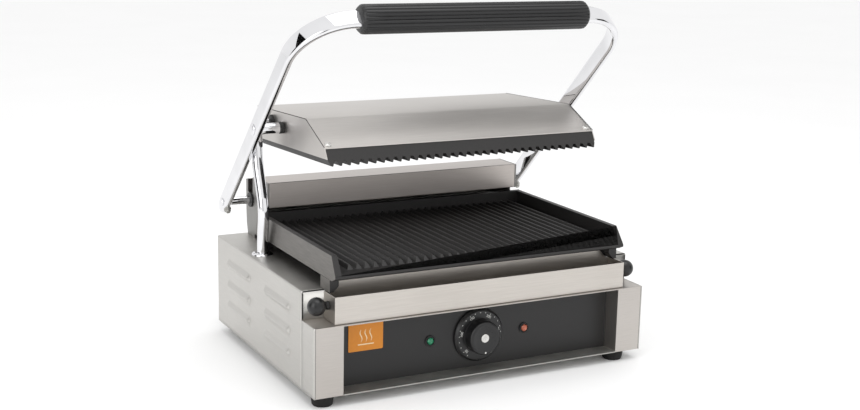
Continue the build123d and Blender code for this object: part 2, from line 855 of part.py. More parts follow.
def handle_bar():
    """Flat bar bent into a U, bored for the shaft and the plate pivots."""
    top = grip_centre
    foot = hinge - along * (bar_tail - bar_width / 2)
    left, right = Vector(-arm_centre, 0, 0), Vector(arm_centre, 0, 0)
    path = FilletPolyline(foot + left, top + left, top + right, foot + right, radius=bar_bend)
    bar = sweep(bar_section(path @ 0, path % 0, bar_width, bar_thickness, bar_edge), path=path)
    for side in LEFT_RIGHT:
        x0, x1 = sorted((side * arm_inner, side * arm_outer))
        end = rod_x(x0, x1, foot.Y, foot.Z, bar_width / 2)
        bar += fillet(end.edges().filter_by(GeomType.CIRCLE), bar_edge)
    for axis, radius in ((hinge, shaft_radius), (pivot, pin_radius)):
        bar -= rod_x(-arm_outer - 1, arm_outer + 1, axis.Y, axis.Z, radius)
    for side in LEFT_RIGHT:
        centre = hinge + Vector(side * arm_centre, 0, 0)
        bar -= rod(centre - across * bar_width, centre, set_screw_radius)
    return bar

def handle_grip():
    """Fluted black grip on the bar."""
    grip = Plane(origin=grip_centre, x_dir=across, z_dir=(1, 0, 0)) * Cylinder(grip_radius, grip_length)
    ends = grip.faces().filter_by(Axis.X).edges()
    grip = chamfer(ends, grip_chamfer)
    for i in range(flute_count):
        turn = 2 * math.pi * i / flute_count
        out = across * math.cos(turn) + along * math.sin(turn)
        place = grip_centre + out * (grip_radius + flute_radius * 0.3)
        grip -= rod_x(-grip_length / 2, grip_length / 2, place.Y, place.Z, flute_radius)
    hole = bar_section(grip_centre - Vector(grip_length / 2 + 1, 0, 0), Vector(1, 0, 0),
                       bar_width + 2 * grip_fit, bar_thickness + 2 * grip_fit, bar_edge)
    return grip - extrude(hole, amount=grip_length + 2)


def hinge_shaft():
    """Chromed shaft across the hinge box that turns with the handle."""
    end = arm_outer + shaft_overhang
    return rod_x(-end, end, hinge_y, hinge_z, shaft_radius)


def shaft_set_screws():
    """Screws up through the bar ends that lock them to the shaft."""
    screws = []
    for side in LEFT_RIGHT:
        centre = hinge + Vector(side * arm_centre, 0, 0)
        under = centre - across * (bar_width / 2)
        screws.append(pan_head(under, -across, set_screw_head_radius, set_screw_head_height,
                               set_screw_radius, bar_width / 2 - shaft_radius))
    return group(screws)


def spring_collars():
    """Collars on the shaft beside the springs."""
    collars = []
    for side in LEFT_RIGHT:
        a, b = spring_place(side)
        clear = spring_wire + anchor_gap
        inner = a - clear if side > 0 else b + clear
        x0, x1 = sorted((inner, inner - side * collar_width))
        collars.append(rod_x(x0, x1, hinge_y, hinge_z, collar_radius)
                       - rod_x(x0, x1, hinge_y, hinge_z, shaft_radius))
    return group(collars)

def pivot_pins():
    """Shouldered pins through the arms, with domed heads outside."""
    pins = []
    for side in LEFT_RIGHT:
        start = pivot + Vector(side * arm_outer, 0, 0)
        out = Vector(side, 0, 0)
        pins.append(pan_head(start, out, pin_head_radius, pin_head_height, pin_radius,
                             bar_thickness + arm_gap + pin_reach))
    return group(pins)


def pivot_spacers():
    """Bright tubes on the pins between the arms and the cover."""
    tubes = []
    for side in LEFT_RIGHT:
        x0, x1 = sorted((side * (cover_half + washer_thickness + fit), side * arm_inner))
        tubes.append(rod_x(x0, x1, pivot.Y, pivot.Z, spacer_radius)
                     - rod_x(x0, x1, pivot.Y, pivot.Z, pin_radius))
    return group(tubes)


# ---------------------------------------------------------------- upper plate
def cover_outline(inset):
    """The cover in Y and Z: flat top, sloping front, near-upright back."""
    slope = math.hypot(cover_flat_front - toe - toe_slope, cover_rise - toe_top)
    run = (cover_rise - toe_top) / slope
    return [(toe + toe_slope + inset / run, toe_top), (cover_flat_front + inset / 2, cover_rise - inset),
            (cover_flat_rear - inset, cover_rise - inset),
            (heel + fit + cover_sheet - inset + cover_lap, skirt_z)]


def upper_cover():
    """Stainless cover of the upper plate, open below."""
    nose = (toe + toe_slope * (skirt_z - tips) / toe_height + cover_lap, skirt_z)
    outer = cover_outline(0)
    cover = side_prism(outer + [nose], -cover_half, cover_half)
    inner = cover_outline(cover_sheet)
    ahead = nose[0] - toe_height
    hollow = [(inner[0][0], toe_top - 1), inner[0], inner[1], inner[2], (inner[3][0], skirt_z - 1),
              (ahead, skirt_z - 1), (ahead, toe_top - 1)]
    cover -= side_prism(hollow, -cover_half + cover_sheet, cover_half - cover_sheet)
    cover -= rod_x(-cover_half - 1, cover_half + 1, 0, 0, pin_radius + running_fit)
    cover -= rod_x(-cover_half - 1, -cover_half + 2 * cover_sheet, hose_entry.Y, hose_entry.Z, bush_bore)
    out = cover_slope_normal()
    for foot in cover_screw_feet():
        cover -= rod(foot - out * 2 * cover_sheet, foot + out, cover_screw_radius + fit)
    return lifted(cover)


def cover_slope_normal():
    """Outward direction of the cover's sloping front."""
    run = Vector(0, cover_flat_front - toe - toe_slope, cover_rise - toe_top).normalized()
    return Vector(0, -run.Z, run.Y)


def cover_screw_feet():
    """Where the two screws of the cover's sloping front stand on its face."""
    run = Vector(0, cover_flat_front - toe - toe_slope, cover_rise - toe_top).normalized()
    return [Vector(side * (cover_half - cover_screw_inset), toe + toe_slope, toe_top) + run * cover_screw_up
            for side in LEFT_RIGHT]


def upper_grill_plate():
    """Ribbed cast-iron plate under the cover, with a sloping front."""
    teeth = [(x, -z) for x, z in rib_outline(upper_ribs, 0, rib_height, casting_half)]
    base = tips + rib_height
    outline = [(x, base + z) for x, z in teeth] + [(casting_half, slab_top), (-casting_half, slab_top)]
    plate = front_prism(outline, toe, heel)
    root = toe + toe_slope + toe_root
    face_top = toe_top - cover_sheet
    front = [(toe, tips + rib_height), (root, tips + rib_height),
             (root, face_top), (toe + toe_slope, face_top)]
    plate += side_prism(front, -casting_half, casting_half)
    ahead = [(toe - 1, tips - 1), (toe + toe_land, tips - 1), (toe + toe_slope, face_top),
             (toe + toe_slope, toe_top + 1), (toe - 1, toe_top + 1)]
    return lifted(plate - side_prism(ahead, -casting_half - 1, casting_half + 1))


def upper_heating_element():
    """Tubular element on the back of the upper plate."""
    middle = (toe + heel) / 2 + upper_element_shift
    return lifted(sweep_round(element_path(middle, slab_top + element_radius + element_gap), element_radius))


def upper_insulation():
    """Mineral-wool slab over the upper element."""
    x = casting_half - wool_inset
    z = slab_top + 2 * element_radius + wool_gap
    return lifted(block(-x, x, toe + cover_top_front - wool_front, heel - wool_heel,
                        z, cover_rise - cover_sheet - wool_drop))


def pivot_brackets():
    """Lugs cast on the upper plate's back, which the pins turn in."""
    lugs = []
    for side in LEFT_RIGHT:
        x0, x1 = sorted((side * (casting_half - lug_inset), side * (casting_half - pin_reach)))
        lug = block(x0, x1, -lug_half_width, lug_half_width, slab_top, lug_top)
        lugs.append(lug - rod_x(x0 - 1, x1 + 1, 0, 0, pin_radius + running_fit))
    return lifted(group(lugs))


def pivot_washers():
    """Black washers round the pins on the cover's sides."""
    washers = []
    for side in LEFT_RIGHT:
        x0, x1 = sorted((side * cover_half, side * (cover_half + washer_thickness)))
        washers.append(rod_x(x0, x1, 0, 0, washer_radius)
                       - rod_x(x0, x1, 0, 0, pin_radius + running_fit))
    return lifted(group(washers))


def conduit_bush():
    """Black bush where the conduit goes into the cover's side."""
    y, z = hose_entry.Y, hose_entry.Z
    bush = rod_x(-cover_half - bush_reach, -cover_half, y, z, hose_radius + bush_wall)
    bush += rod_x(-cover_half, -cover_half + bush_tail, y, z, bush_bore)
    socket = rod_x(-cover_half - bush_reach - 1, -cover_half - cover_lap / 2, y, z, hose_radius + 2 * fit)
    return lifted(bush - socket)


def cover_front_screws():
    """Pan-head screws at the two lower corners of the cover's sloping front."""
    out = cover_slope_normal()
    return lifted(group([pan_head(foot, out, cover_head_radius, cover_head_height,
                                  cover_screw_radius, 2 * cover_sheet) for foot in cover_screw_feet()]))


# ---------------------------------------------------------------- drip tray

def drip_tray():
    """Open trough on the ledge, its back rising under the plate's lip."""
    z0, z1 = ledge_z + fit, ledge_z + tray_height
    tray = block(-tray_half, tray_half, tray_front, tray_rear, z0, z1)
    tray -= block(-tray_half + tray_sheet, tray_half - tray_sheet, tray_front + tray_sheet,
                  tray_rear - tray_sheet, z0 + tray_sheet, z1 + 1)
    foot = tray_half - tray_corner_inset
    top = foot - tray_corner
    back = [(-foot, z1 - tray_sheet), (foot, z1 - tray_sheet), (foot, z1), (top, z1 + tray_back_rise),
            (-top, z1 + tray_back_rise), (-foot, z1)]
    tray += front_prism(back, tray_rear - tray_sheet, tray_rear)
    for side in LEFT_RIGHT:
        x0, x1 = sorted((side * (tray_half - 2 * tray_sheet), side * (tray_half + tray_sheet)))
        tray -= rod_x(x0, x1, ball_y, ball_z, stud_radius)
    return tray


def tray_studs():
    """Threaded studs through the tray's ends, with a nut inside."""
    studs = []
    for side in LEFT_RIGHT:
        x0, x1 = sorted((side * (tray_half - stud_inset), side * (tray_half + ball_gap - ball_radius / 2)))
        stud = rod_x(x0, x1, ball_y, ball_z, stud_radius)
        n0, n1 = sorted((side * (tray_half - tray_sheet), side * (tray_half - tray_sheet - stud_nut_height)))
        stud += rod_x(n0, n1, ball_y, ball_z, stud_nut_radius)
        studs.append(stud)
    return group(studs)


def tray_knobs():
    """Black ball knobs on the studs."""
    balls = []
    for side in LEFT_RIGHT:
        x = side * (tray_half + ball_gap)
        ball = Pos(x, ball_y, ball_z) * Sphere(ball_radius)
        neck0, neck1 = sorted((side * (tray_half + fit), side * (tray_half + ball_gap)))
        ball += rod_x(neck0, neck1, ball_y, ball_z, neck_radius)
        s0, s1 = sorted((side * (tray_half - tray_sheet), side * (tray_half + ball_gap - ball_radius / 2)))
        balls.append(ball - rod_x(s0, s1, ball_y, ball_z, stud_radius))
    return group(balls)


# ---------------------------------------------------------------- thermostat knob
def thermostat_knob():
    """Skirted knob: a bevelled dial and a round grip, hollowed for the spindle."""
    skirt = rod_y(0, knob_back - knob_skirt_depth, knob_back, knob_z, knob_skirt_radius)
    skirt = chamfer(skirt.edges().sort_by(Axis.Y)[0], skirt_bevel)
    grip = rod_y(0, knob_face, knob_back - knob_skirt_depth, knob_z, knob_grip_radius)
    grip = fillet(grip.edges().sort_by(Axis.Y)[0], grip_round)
    knob = skirt + grip
    knob -= Pos(0, knob_face - dish_sphere + dish_depth, knob_z) * Sphere(dish_sphere)
    knob -= rod_y(0, knob_face - 1, knob_face + dish_depth + cap_depth, knob_z, cap_radius)
    return knob - rod_y(0, knob_face + cap_depth + spindle_depth, knob_back + 1, knob_z, spindle_radius)

def knob_cap():
    """Small bright disc in the middle of the knob's face."""
    y = knob_face + dish_depth
    return rod_y(0, y, y + cap_depth, knob_z, cap_radius)


def thermostat_spindle():
    """Spindle from the thermostat into the knob."""
    return rod_y(0, knob_face + cap_depth + spindle_depth, panel_back + spindle_reach, knob_z, spindle_radius)


# ---------------------------------------------------------------- fasteners on the body
def body_screws():
    """Pan-head screws along the top of the rear panel."""
    screws = []
    for x in rear_screw_columns:
        start = Vector(x, rear_y, deck_z - rear_screw_drop)
        screws.append(pan_head(start, Vector(0, 1, 0), rear_head_radius, rear_head_height,
                               rear_screw_radius, rear_screw_length))
    return group(screws)


PARTS = {
    "housing_shell": housing_shell,
    "front_frame": front_frame,
    "base_plate": base_plate,
    "rear_panel": rear_panel,
    "rubber_feet": rubber_feet,
    "foot_screws": foot_screws,
    "mains_gland": mains_gland,
    "control_panel": control_panel,
    "panel_badge": panel_badge,
    "lamp_bezels": lamp_bezels,
    "green_lamp": lambda: lamp_lens(-lamp_offset),
    "orange_lamp": lambda: lamp_lens(lamp_offset),
    "thermostat_body": thermostat_body,
    "thermostat_probe": thermostat_probe,
    "heat_shield": heat_shield,
    "insulation_pad": insulation_pad,
    "lower_heating_element": lower_heating_element,
    "element_clamps": element_clamps,
    "plate_supports": plate_supports,
    "lower_grill_plate": lower_grill_plate,
    "hinge_box_cover": hinge_box_cover,
    "hinge_end_plates": hinge_end_plates,
    "hinge_bushes": hinge_bushes,
    "counter_springs": counter_springs,
    "spring_anchor": spring_anchor,
    "conduit_ring": conduit_ring,
    "conduit_hose": conduit_hose,
    "terminal_block": terminal_block,
    "body_screws": body_screws,
    "handle_bar": handle_bar,
    "handle_grip": handle_grip,
    "hinge_shaft": hinge_shaft,
    "shaft_set_screws": shaft_set_screws,
    "spring_collars": spring_collars,
    "pivot_pins": pivot_pins,
    "pivot_spacers": pivot_spacers,
    "upper_cover": upper_cover,
    "upper_grill_plate": upper_grill_plate,
    "upper_heating_element": upper_heating_element,
    "upper_insulation": upper_insulation,
    "pivot_brackets": pivot_brackets,
    "pivot_washers": pivot_washers,
    "conduit_bush": conduit_bush,
    "cover_front_screws": cover_front_screws,
    "drip_tray": drip_tray,
    "tray_studs": tray_studs,
    "tray_knobs": tray_knobs,
    "thermostat_knob": thermostat_knob,
    "knob_cap": knob_cap,
    "thermostat_spindle": thermostat_spindle,
}

os.makedirs("parts", exist_ok=True)
for name, make in PARTS.items():
    export_step(make(), f"parts/{name}.step")
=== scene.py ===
import bpy
import bmesh
import json
import math
from mathutils import Matrix, Vector


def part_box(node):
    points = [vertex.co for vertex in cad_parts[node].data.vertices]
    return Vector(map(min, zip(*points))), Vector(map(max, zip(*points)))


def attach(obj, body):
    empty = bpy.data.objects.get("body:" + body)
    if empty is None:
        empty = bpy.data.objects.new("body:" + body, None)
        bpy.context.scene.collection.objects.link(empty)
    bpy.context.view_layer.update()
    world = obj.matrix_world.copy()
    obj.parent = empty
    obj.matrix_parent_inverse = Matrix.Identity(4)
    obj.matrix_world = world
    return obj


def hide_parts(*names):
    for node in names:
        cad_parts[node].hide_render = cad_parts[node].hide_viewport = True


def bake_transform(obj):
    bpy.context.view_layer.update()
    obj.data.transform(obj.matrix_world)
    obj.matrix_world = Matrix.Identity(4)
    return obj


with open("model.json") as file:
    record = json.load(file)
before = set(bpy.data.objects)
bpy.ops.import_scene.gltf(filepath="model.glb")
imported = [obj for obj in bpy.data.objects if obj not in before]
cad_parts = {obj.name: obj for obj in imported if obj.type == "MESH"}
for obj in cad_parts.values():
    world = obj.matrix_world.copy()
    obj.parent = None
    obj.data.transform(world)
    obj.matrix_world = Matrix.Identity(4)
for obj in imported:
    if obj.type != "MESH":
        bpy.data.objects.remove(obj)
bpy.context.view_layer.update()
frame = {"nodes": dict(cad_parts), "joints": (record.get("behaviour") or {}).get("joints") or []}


# ------------------------------------------------------------------ studio
# The press stands on a white table in a white room, under an overhead softbox and a tall one at
# the left; dark cards that only polished metal sees give the chrome its black lines.
camera_place = Vector((-0.72044, -1.37737, 0.51535))
camera_yaw, camera_pitch, camera_roll = 0.484522, 0.217410, 0.0215287
camera_lens = 56.25

scene = bpy.context.scene
scene.view_settings.view_transform = "Standard"


def place(name, data):
    """Links a new object for data."""
    made = bpy.data.objects.new(name, data)
    scene.collection.objects.link(made)
    return made


def aim(spot, at, roll=0.0):
    """Matrix of something at spot whose -Z axis points to at."""
    ahead = (at - spot).normalized()
    right = ahead.cross(Vector((0, 0, 1))).normalized()
    up = right.cross(ahead)
    c, s = math.cos(roll), math.sin(roll)
    right, up = right * c + up * s, up * c - right * s
    return Matrix.Translation(spot) @ Matrix((right, up, -ahead)).transposed().to_4x4()


camera = place("camera", bpy.data.cameras.new("camera"))
camera.data.lens = camera_lens
ahead = Vector((math.sin(camera_yaw) * math.cos(camera_pitch), math.cos(camera_yaw) * math.cos(camera_pitch),
                -math.sin(camera_pitch)))
camera.matrix_world = aim(camera_place, camera_place + ahead, camera_roll)
scene.camera = camera

world = bpy.data.worlds.new("studio")
world.use_nodes = True
sky = world.node_tree.nodes["Background"]
sky.inputs["Color"].default_value = (1, 1, 1, 1)
sky.inputs["Strength"].default_value = 1.0
scene.world = world


def softbox(name, spot, at, width, height, watts):
    """A rectangular area light at spot facing at."""
    lamp = bpy.data.lights.new(name, "AREA")
    lamp.shape = "RECTANGLE"
    lamp.size, lamp.size_y, lamp.energy = width, height, watts
    made = place(name, lamp)
    made.matrix_world = aim(Vector(spot), Vector(at))
    return made


softbox("overhead", (0.1, -0.3, 1.8), (0, 0, 0.1), 1.4, 1.2, 9)
softbox("left", (-1.8, -0.7, 0.9), (0, 0, 0.15), 0.8, 1.5, 7)


class Wire:
    """One output socket of a finish, with arithmetic on it."""

    def __init__(self, finish, socket):
        self.finish, self.socket = finish, socket

    def math(self, operation, first, second):
        return self.finish.node("ShaderNodeMath", {"operation": operation}, {0: first, 1: second})

    def __add__(self, other):
        return self.math("ADD", self, other)

    def __mul__(self, other):
        return self.math("MULTIPLY", self, other)

    __radd__, __rmul__ = __add__, __mul__


class Finish:
    """A material made of nodes round one Principled shader."""

    def __init__(self, name, **same_all_over):
        self.material = bpy.data.materials.new(name)
        self.material.use_nodes = True
        self.tree = self.material.node_tree
        self.shader = self.tree.nodes["Principled BSDF"]
        for key, value in same_all_over.items():
            self.shader.inputs[key.replace("_", " ")].default_value = value
        self.spot = self.node("ShaderNodeTexCoord", {}, {}, "Object")

    def put(self, socket, value):
        if isinstance(value, Wire):
            self.tree.links.new(value.socket, socket)
        else:
            socket.default_value = value

    def node(self, kind, settings, inputs, out=0):
        made = self.tree.nodes.new(kind)
        for key, value in settings.items():
            setattr(made, key, value)
        for key, value in inputs.items():
            self.put(made.inputs[key], value)
        return Wire(self, made.outputs[out])

    def noise(self, stretch, detail=3.0, roughness=0.55):
        """Noise from 0 to 1; stretch is how many times it varies in a metre along X, Y and Z."""
        where = self.node("ShaderNodeMapping", {}, {"Vector": self.spot, "Scale": stretch})
        return self.node("ShaderNodeTexNoise", {}, {"Vector": where, "Scale": 1.0, "Detail": detail,
                                                   "Roughness": roughness})

    def mix(self, share, first, second):
        return self.node("ShaderNodeMix", {"data_type": "RGBA"}, {0: share, 6: first, 7: second}, 2)

    def feed(self, name, value):
        self.put(self.shader.inputs[name], value)
        return self

    def bump(self, height, strength, distance):
        return self.feed("Normal", self.node("ShaderNodeBump", {}, {"Height": height, "Strength": strength,
                                                                   "Distance": distance}))


def rgb(red, green, blue):
    """A colour given as it looks on screen, 0 to 255."""
    return tuple(((c / 255 + 0.055) / 1.055) ** 2.4 if c > 10 else c / 255 / 12.92
                 for c in (red, green, blue)) + (1.0,)


reach = 6
table = bpy.data.meshes.new("table_top")
table.from_pydata([(-reach, -reach, 0), (reach, -reach, 0), (reach, reach, 0), (-reach, reach, 0)],
                  [], [(0, 1, 2, 3)])
table_top = place("table_top", table)
white = Finish("table_white", Roughness=0.9, Specular_IOR_Level=0.1)
white.feed("Base Color", white.mix(white.noise((3, 3, 3)), (0.93, 0.93, 0.93, 1), (0.96, 0.96, 0.96, 1)))
table.materials.append(white.material)

card_black = Finish("card_black", Roughness=1.0, Specular_IOR_Level=0.0)
card_black.feed("Base Color", card_black.mix(card_black.noise((2, 2, 2)), (0.004, 0.004, 0.004, 1),
                                             (0.008, 0.008, 0.008, 1)))


def dark_card(name, spot, at, width, height):
    """A black card that only reflections see."""
    sheet = bpy.data.meshes.new(name)
    w, h = width / 2, height / 2
    sheet.from_pydata([(-w, -h, 0), (w, -h, 0), (w, h, 0), (-w, h, 0)], [], [(0, 1, 2, 3)])
    sheet.materials.append(card_black.material)
    made = place(name, sheet)
    made.matrix_world = aim(Vector(spot), Vector(at))
    made.visible_camera = made.visible_diffuse = made.visible_shadow = False
    return made


dark_card("card_left", (-1.5, 0.35, 0.45), (0, 0, 0.3), 0.55, 1.3)
dark_card("card_front", (-1.15, -1.7, 0.35), (0, 0, 0.3), 0.28, 1.2)
dark_card("card_right", (1.5, -0.9, 0.4), (0, 0, 0.3), 0.7, 1.1)
dark_card("card_high", (0.9, 0.9, 1.3), (0, 0, 0.3), 0.7, 0.5)


# ------------------------------------------------------------------ bottom sheet and inner metalwork
# The bottom sheet, rear sheet, spring rail, clamps and springs are mild steel, zinc plated and left dull.
# They keep their shape from the drawing; only their surface is made here.
def paint(node, finish):
    """Gives a node of the drawing its finish."""
    mesh = frame["nodes"][node].data
    mesh.materials.clear()
    mesh.materials.append(finish.material)


zinc = Finish("dull_zinc", Metallic=1.0)
spangle = zinc.noise((90, 90, 90), 4)
zinc.feed("Base Color", zinc.mix(spangle, (0.40, 0.40, 0.38, 1), (0.56, 0.55, 0.52, 1)))
zinc.feed("Roughness", spangle * 0.25 + 0.35)
zinc.bump(zinc.noise((700, 700, 700)), 0.05, 0.0004)
for node in ("base_plate", "rear_panel", "spring_anchor", "counter_springs", "spring_collars",
             "element_clamps", "tray_studs", "thermostat_spindle", "pivot_brackets"):
    paint(node, zinc)


# ------------------------------------------------------------------ wiring side of the body
# A copper capillary, brown phenolic blocks, an aluminium heat shield and mineral wool sit inside the
# body, and tubular elements lie against the castings.
def speckled(name, low, high, scale, rough, metal=0.0, bump=0.1, height=0.0003):
    """A finish whose colour and height vary with one noise."""
    made = Finish(name, Metallic=metal)
    grain = made.noise((scale, scale, scale), 4)
    made.feed("Base Color", made.mix(grain, low, high))
    made.feed("Roughness", grain * 0.15 + rough)
    return made.bump(grain, bump, height)


for nodes, finish in (
    (("thermostat_probe",), speckled("bare_copper", rgb(150, 86, 54), rgb(196, 122, 84), 120, 0.25, 1.0)),
    (("thermostat_body", "terminal_block"), speckled("brown_phenolic", rgb(58, 44, 36), rgb(82, 62, 50),
                                                     400, 0.5)),
    (("heat_shield",), speckled("mill_aluminium", rgb(190, 190, 190), rgb(215, 215, 215), 60, 0.35, 1.0)),
    (("insulation_pad", "upper_insulation"), speckled("mineral_wool", rgb(196, 188, 150), rgb(226, 220, 190),
                                                      500, 0.85, 0.0, 0.8, 0.002)),
    (("lower_heating_element", "upper_heating_element"), speckled("dark_tube", rgb(88, 82, 78),
                                                                  rgb(130, 120, 112), 150, 0.4, 1.0)),
):
    for node in nodes:
        paint(node, finish)


# ------------------------------------------------------------------ rubber feet
# Four tapered feet of matt black moulded rubber, each held by a screw in a recess underneath.
foot_top, foot_low, foot_tall = 0.013, 0.0112, 0.012
foot_spots = [(-0.1915, -0.137, 0), (0.180, -0.137, 0), (-0.180, 0.137, 0), (0.180, 0.137, 0)]


def finished(mesh, finish, angle=35):
    """Closes, orients and shades a new mesh, and gives it its finish."""
    bm = bmesh.new()
    bm.from_mesh(mesh)
    bmesh.ops.remove_doubles(bm, verts=bm.verts, dist=1e-6)
    bmesh.ops.recalc_face_normals(bm, faces=bm.faces)
    bm.to_mesh(mesh)
    bm.free()
    mesh.shade_smooth()
    mesh.set_sharp_from_angle(angle=math.radians(angle))
    mesh.materials.clear()
    mesh.materials.append(finish.material)
    return mesh


def turned(name, start, way, profile, finish, sides=48, angle=35):
    """A lathe-turned piece: profile lists (distance along way, radius), closed at both ends."""
    start, way = Vector(start), Vector(way).normalized()
    side = way.orthogonal().normalized()
    other = way.cross(side)
    points, faces = [], []
    for along, radius in profile:
        for i in range(sides):
            turn = 2 * math.pi * i / sides
            points.append(start + way * along + (side * math.cos(turn) + other * math.sin(turn)) * radius)
    for k in range(len(profile) - 1):
        for i in range(sides):
            a, b = k * sides + i, k * sides + (i + 1) % sides
            faces.append((a, b, b + sides, a + sides))
    faces.append(tuple(range(sides)))
    faces.append(tuple(range(len(points) - sides, len(points))))
    mesh = bpy.data.meshes.new(name)
    mesh.from_pydata(points, [], faces)
    return place(name, finished(mesh, finish, angle))


def repeated(name, pattern, spots, finish, turn=(0.0, 0.0, 0.0), size=1.0):
    """Copies of a pattern piece at each spot, set by Geometry Nodes and left as one plain mesh."""
    tree = bpy.data.node_groups.new(name, "GeometryNodeTree")
    tree.interface.new_socket("Spots", in_out="INPUT", socket_type="NodeSocketGeometry")
    inputs = [(tree.interface.new_socket(label, in_out="INPUT", socket_type=kind), value)
              for label, kind, value in
              (("Pattern", "NodeSocketObject", pattern), ("Turn", "NodeSocketVector", turn),
               ("Size", "NodeSocketFloat", size))]
    tree.interface.new_socket("Copies", in_out="OUTPUT", socket_type="NodeSocketGeometry")
    add = tree.nodes.new
    first, info, last = add("NodeGroupInput"), add("GeometryNodeObjectInfo"), add("NodeGroupOutput")
    on, real = add("GeometryNodeInstanceOnPoints"), add("GeometryNodeRealizeInstances")
    dress = add("GeometryNodeSetMaterial")
    dress.inputs["Material"].default_value = finish.material
    for a, b in ((first.outputs["Spots"], on.inputs["Points"]),
                 (first.outputs["Pattern"], info.inputs["Object"]),
                 (info.outputs["Geometry"], on.inputs["Instance"]),
                 (first.outputs["Turn"], on.inputs["Rotation"]),
                 (first.outputs["Size"], on.inputs["Scale"]), (on.outputs[0], real.inputs[0]),
                 (real.outputs[0], dress.inputs[0]), (dress.outputs[0], last.inputs[0])):
        tree.links.new(a, b)
    seeds = bpy.data.meshes.new(name + "_spots")
    seeds.from_pydata([tuple(s) for s in spots], [], [])
    made = place(name, seeds)
    modifier = made.modifiers.new("copies", "NODES")
    modifier.node_group = tree
    for socket, value in inputs:
        modifier[socket.identifier] = value
    graph = bpy.context.evaluated_depsgraph_get()
    mesh = bpy.data.meshes.new_from_object(made.evaluated_get(graph), depsgraph=graph)
    made.modifiers.remove(modifier)
    made.data = mesh
    mesh.shade_smooth()
    mesh.set_sharp_from_angle(angle=math.radians(35))
    bpy.data.objects.remove(pattern)
    return made


rubber = Finish("matt_rubber", Specular_IOR_Level=0.3)
pores = rubber.noise((900, 900, 900))
rubber.feed("Base Color", rubber.mix(pores, rgb(22, 22, 22), rgb(34, 33, 32)))
rubber.feed("Roughness", pores * 0.2 + 0.6)
rubber.bump(pores, 0.2, 0.0003)
foot = turned("foot", (0, 0, 0), (0, 0, 1),
              [(0.0035, 0.0004), (0.0035, 0.0058), (0, 0.0062), (0, foot_low - 0.001), (0.0012, foot_low),
               (foot_tall, foot_top)], rubber)
feet = repeated("feet", foot, foot_spots, rubber)
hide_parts("rubber_feet")
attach(feet, "base")
foot_head = turned("foot_head", (0, 0, 0), (0, 0, 1), [(0.0012, 0.0002), (0.0012, 0.0028), (0.0, 0.0044),
                                                      (0.0026, 0.0048)], zinc)
foot_heads = repeated("foot_heads", foot_head, [(x, y, 0.0012) for x, y, z in foot_spots], zinc)
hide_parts("foot_screws")
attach(foot_heads, "base")


# ------------------------------------------------------------------ housing
# Deck, riser and sides are one folded sheet of brushed stainless steel, 1.2 mm thick, with soft bends
# and two rows of three louvres pressed out of each side.
lo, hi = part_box("housing_shell")
side_x, deck_z, base_z = 0.207, hi[2], lo[2]
front_y, rear_y, riser_y, ledge_z = lo[1], hi[1], -0.1165, 0.089
bend = 0.0016
louvre_y, louvre_z = (0.0775, -0.046), (0.0445, 0.0695, 0.0955)
louvre_long, louvre_tall, louvre_out = 0.074, 0.0105, 0.0029


def brushed(name, dark, light, stretch, rough=0.3, bump=0.04):
    """Brushed stainless steel; stretch is small along the grain and large across it."""
    made = Finish(name, Metallic=1.0)
    grain = made.noise(stretch, 4, 0.7)
    cloud = made.noise((7, 7, 7), 2)
    made.feed("Base Color", made.mix(made.mix(0.35, grain, cloud), dark, light))
    made.feed("Roughness", grain * 0.12 + rough)
    return made.bump(grain, bump, 0.0003)


def pressed(y, z):
    """How far a louvre stands out of the side at y and z."""
    best = 0.0
    for cy in louvre_y:
        for cz in louvre_z:
            u = abs(y - cy) / (louvre_long / 2)
            v = (z - cz) / (louvre_tall / 2)
            if u < 1.04 and abs(v) < 1.0:
                rise = min(1, (1 - v) / 1.55)
                drop = min(1, (v + 1) / 0.45)
                end = min(1, max(0, (1.04 - u) / 0.11))
                lift = [t * t * (3 - 2 * t) for t in (rise, drop, end)]
                best = max(best, lift[0] * lift[1] * lift[2])
    return best * louvre_out


def lines(start, end, coarse, fine, near, span):
    """Cutting lines from start to end, closer together within span of the places in near."""
    marks, at = [start], start
    while at < end - 1e-6:
        at = min(end, at + (fine if any(abs(at + fine - n) < span for n in near) else coarse))
        marks.append(at)
    return marks


ends_y = [c + s * louvre_long / 2 for c in louvre_y for s in (-1, 1)]
high_z = lines(base_z, deck_z - bend, 0.004, 0.0007, louvre_z, 0.0062)
low_z = [z for z in high_z if z < ledge_z - 0.001] + [ledge_z]
points, faces = [], []


def skin(rows):
    """Faces between rows of points of one length."""
    start, wide = len(points), len(rows[0])
    for row in rows:
        points.extend(row)
    for j in range(len(rows) - 1):
        for i in range(wide - 1):
            a = start + j * wide + i
            faces.append((a, a + 1, a + wide + 1, a + wide))


rows = []
for y in lines(riser_y, rear_y, 0.005, 0.0011, ends_y, 0.006):
    left = [(-side_x - pressed(y, z), y, z) for z in high_z]
    arc = [(-side_x + bend * (1 - math.cos(t)), y, deck_z - bend * (1 - math.sin(t)))
           for t in (math.pi / 8 * k for k in range(1, 5))]
    half = left + arc + [(x, y, deck_z) for x in (-0.15, -0.05)]
    rows.append(half + [(-x, yy, z) for x, yy, z in reversed(half)])
skin(rows)
for side in (-1, 1):
    front = lines(front_y, riser_y, 0.006, 0.006, (), 0)
    skin([[(side * side_x, y, z) for z in (low_z if side < 0 else low_z[::-1])] for y in front])
skin([[(x, riser_y, z) for x in (-side_x + bend, side_x - bend)] for z in (ledge_z, deck_z)])
shell_mesh = bpy.data.meshes.new("housing")
shell_mesh.from_pydata(points, [], faces)
side_steel = brushed("side_steel", rgb(176, 174, 170), rgb(214, 212, 208), (60, 60, 1400), 0.36)
housing = place("housing", shell_mesh)
shell_mesh.shade_smooth()
shell_mesh.set_sharp_from_angle(angle=math.radians(50))
shell_mesh.materials.append(side_steel.material)
wall = housing.modifiers.new("wall", "SOLIDIFY")
wall.thickness, wall.offset = 0.0012, -1
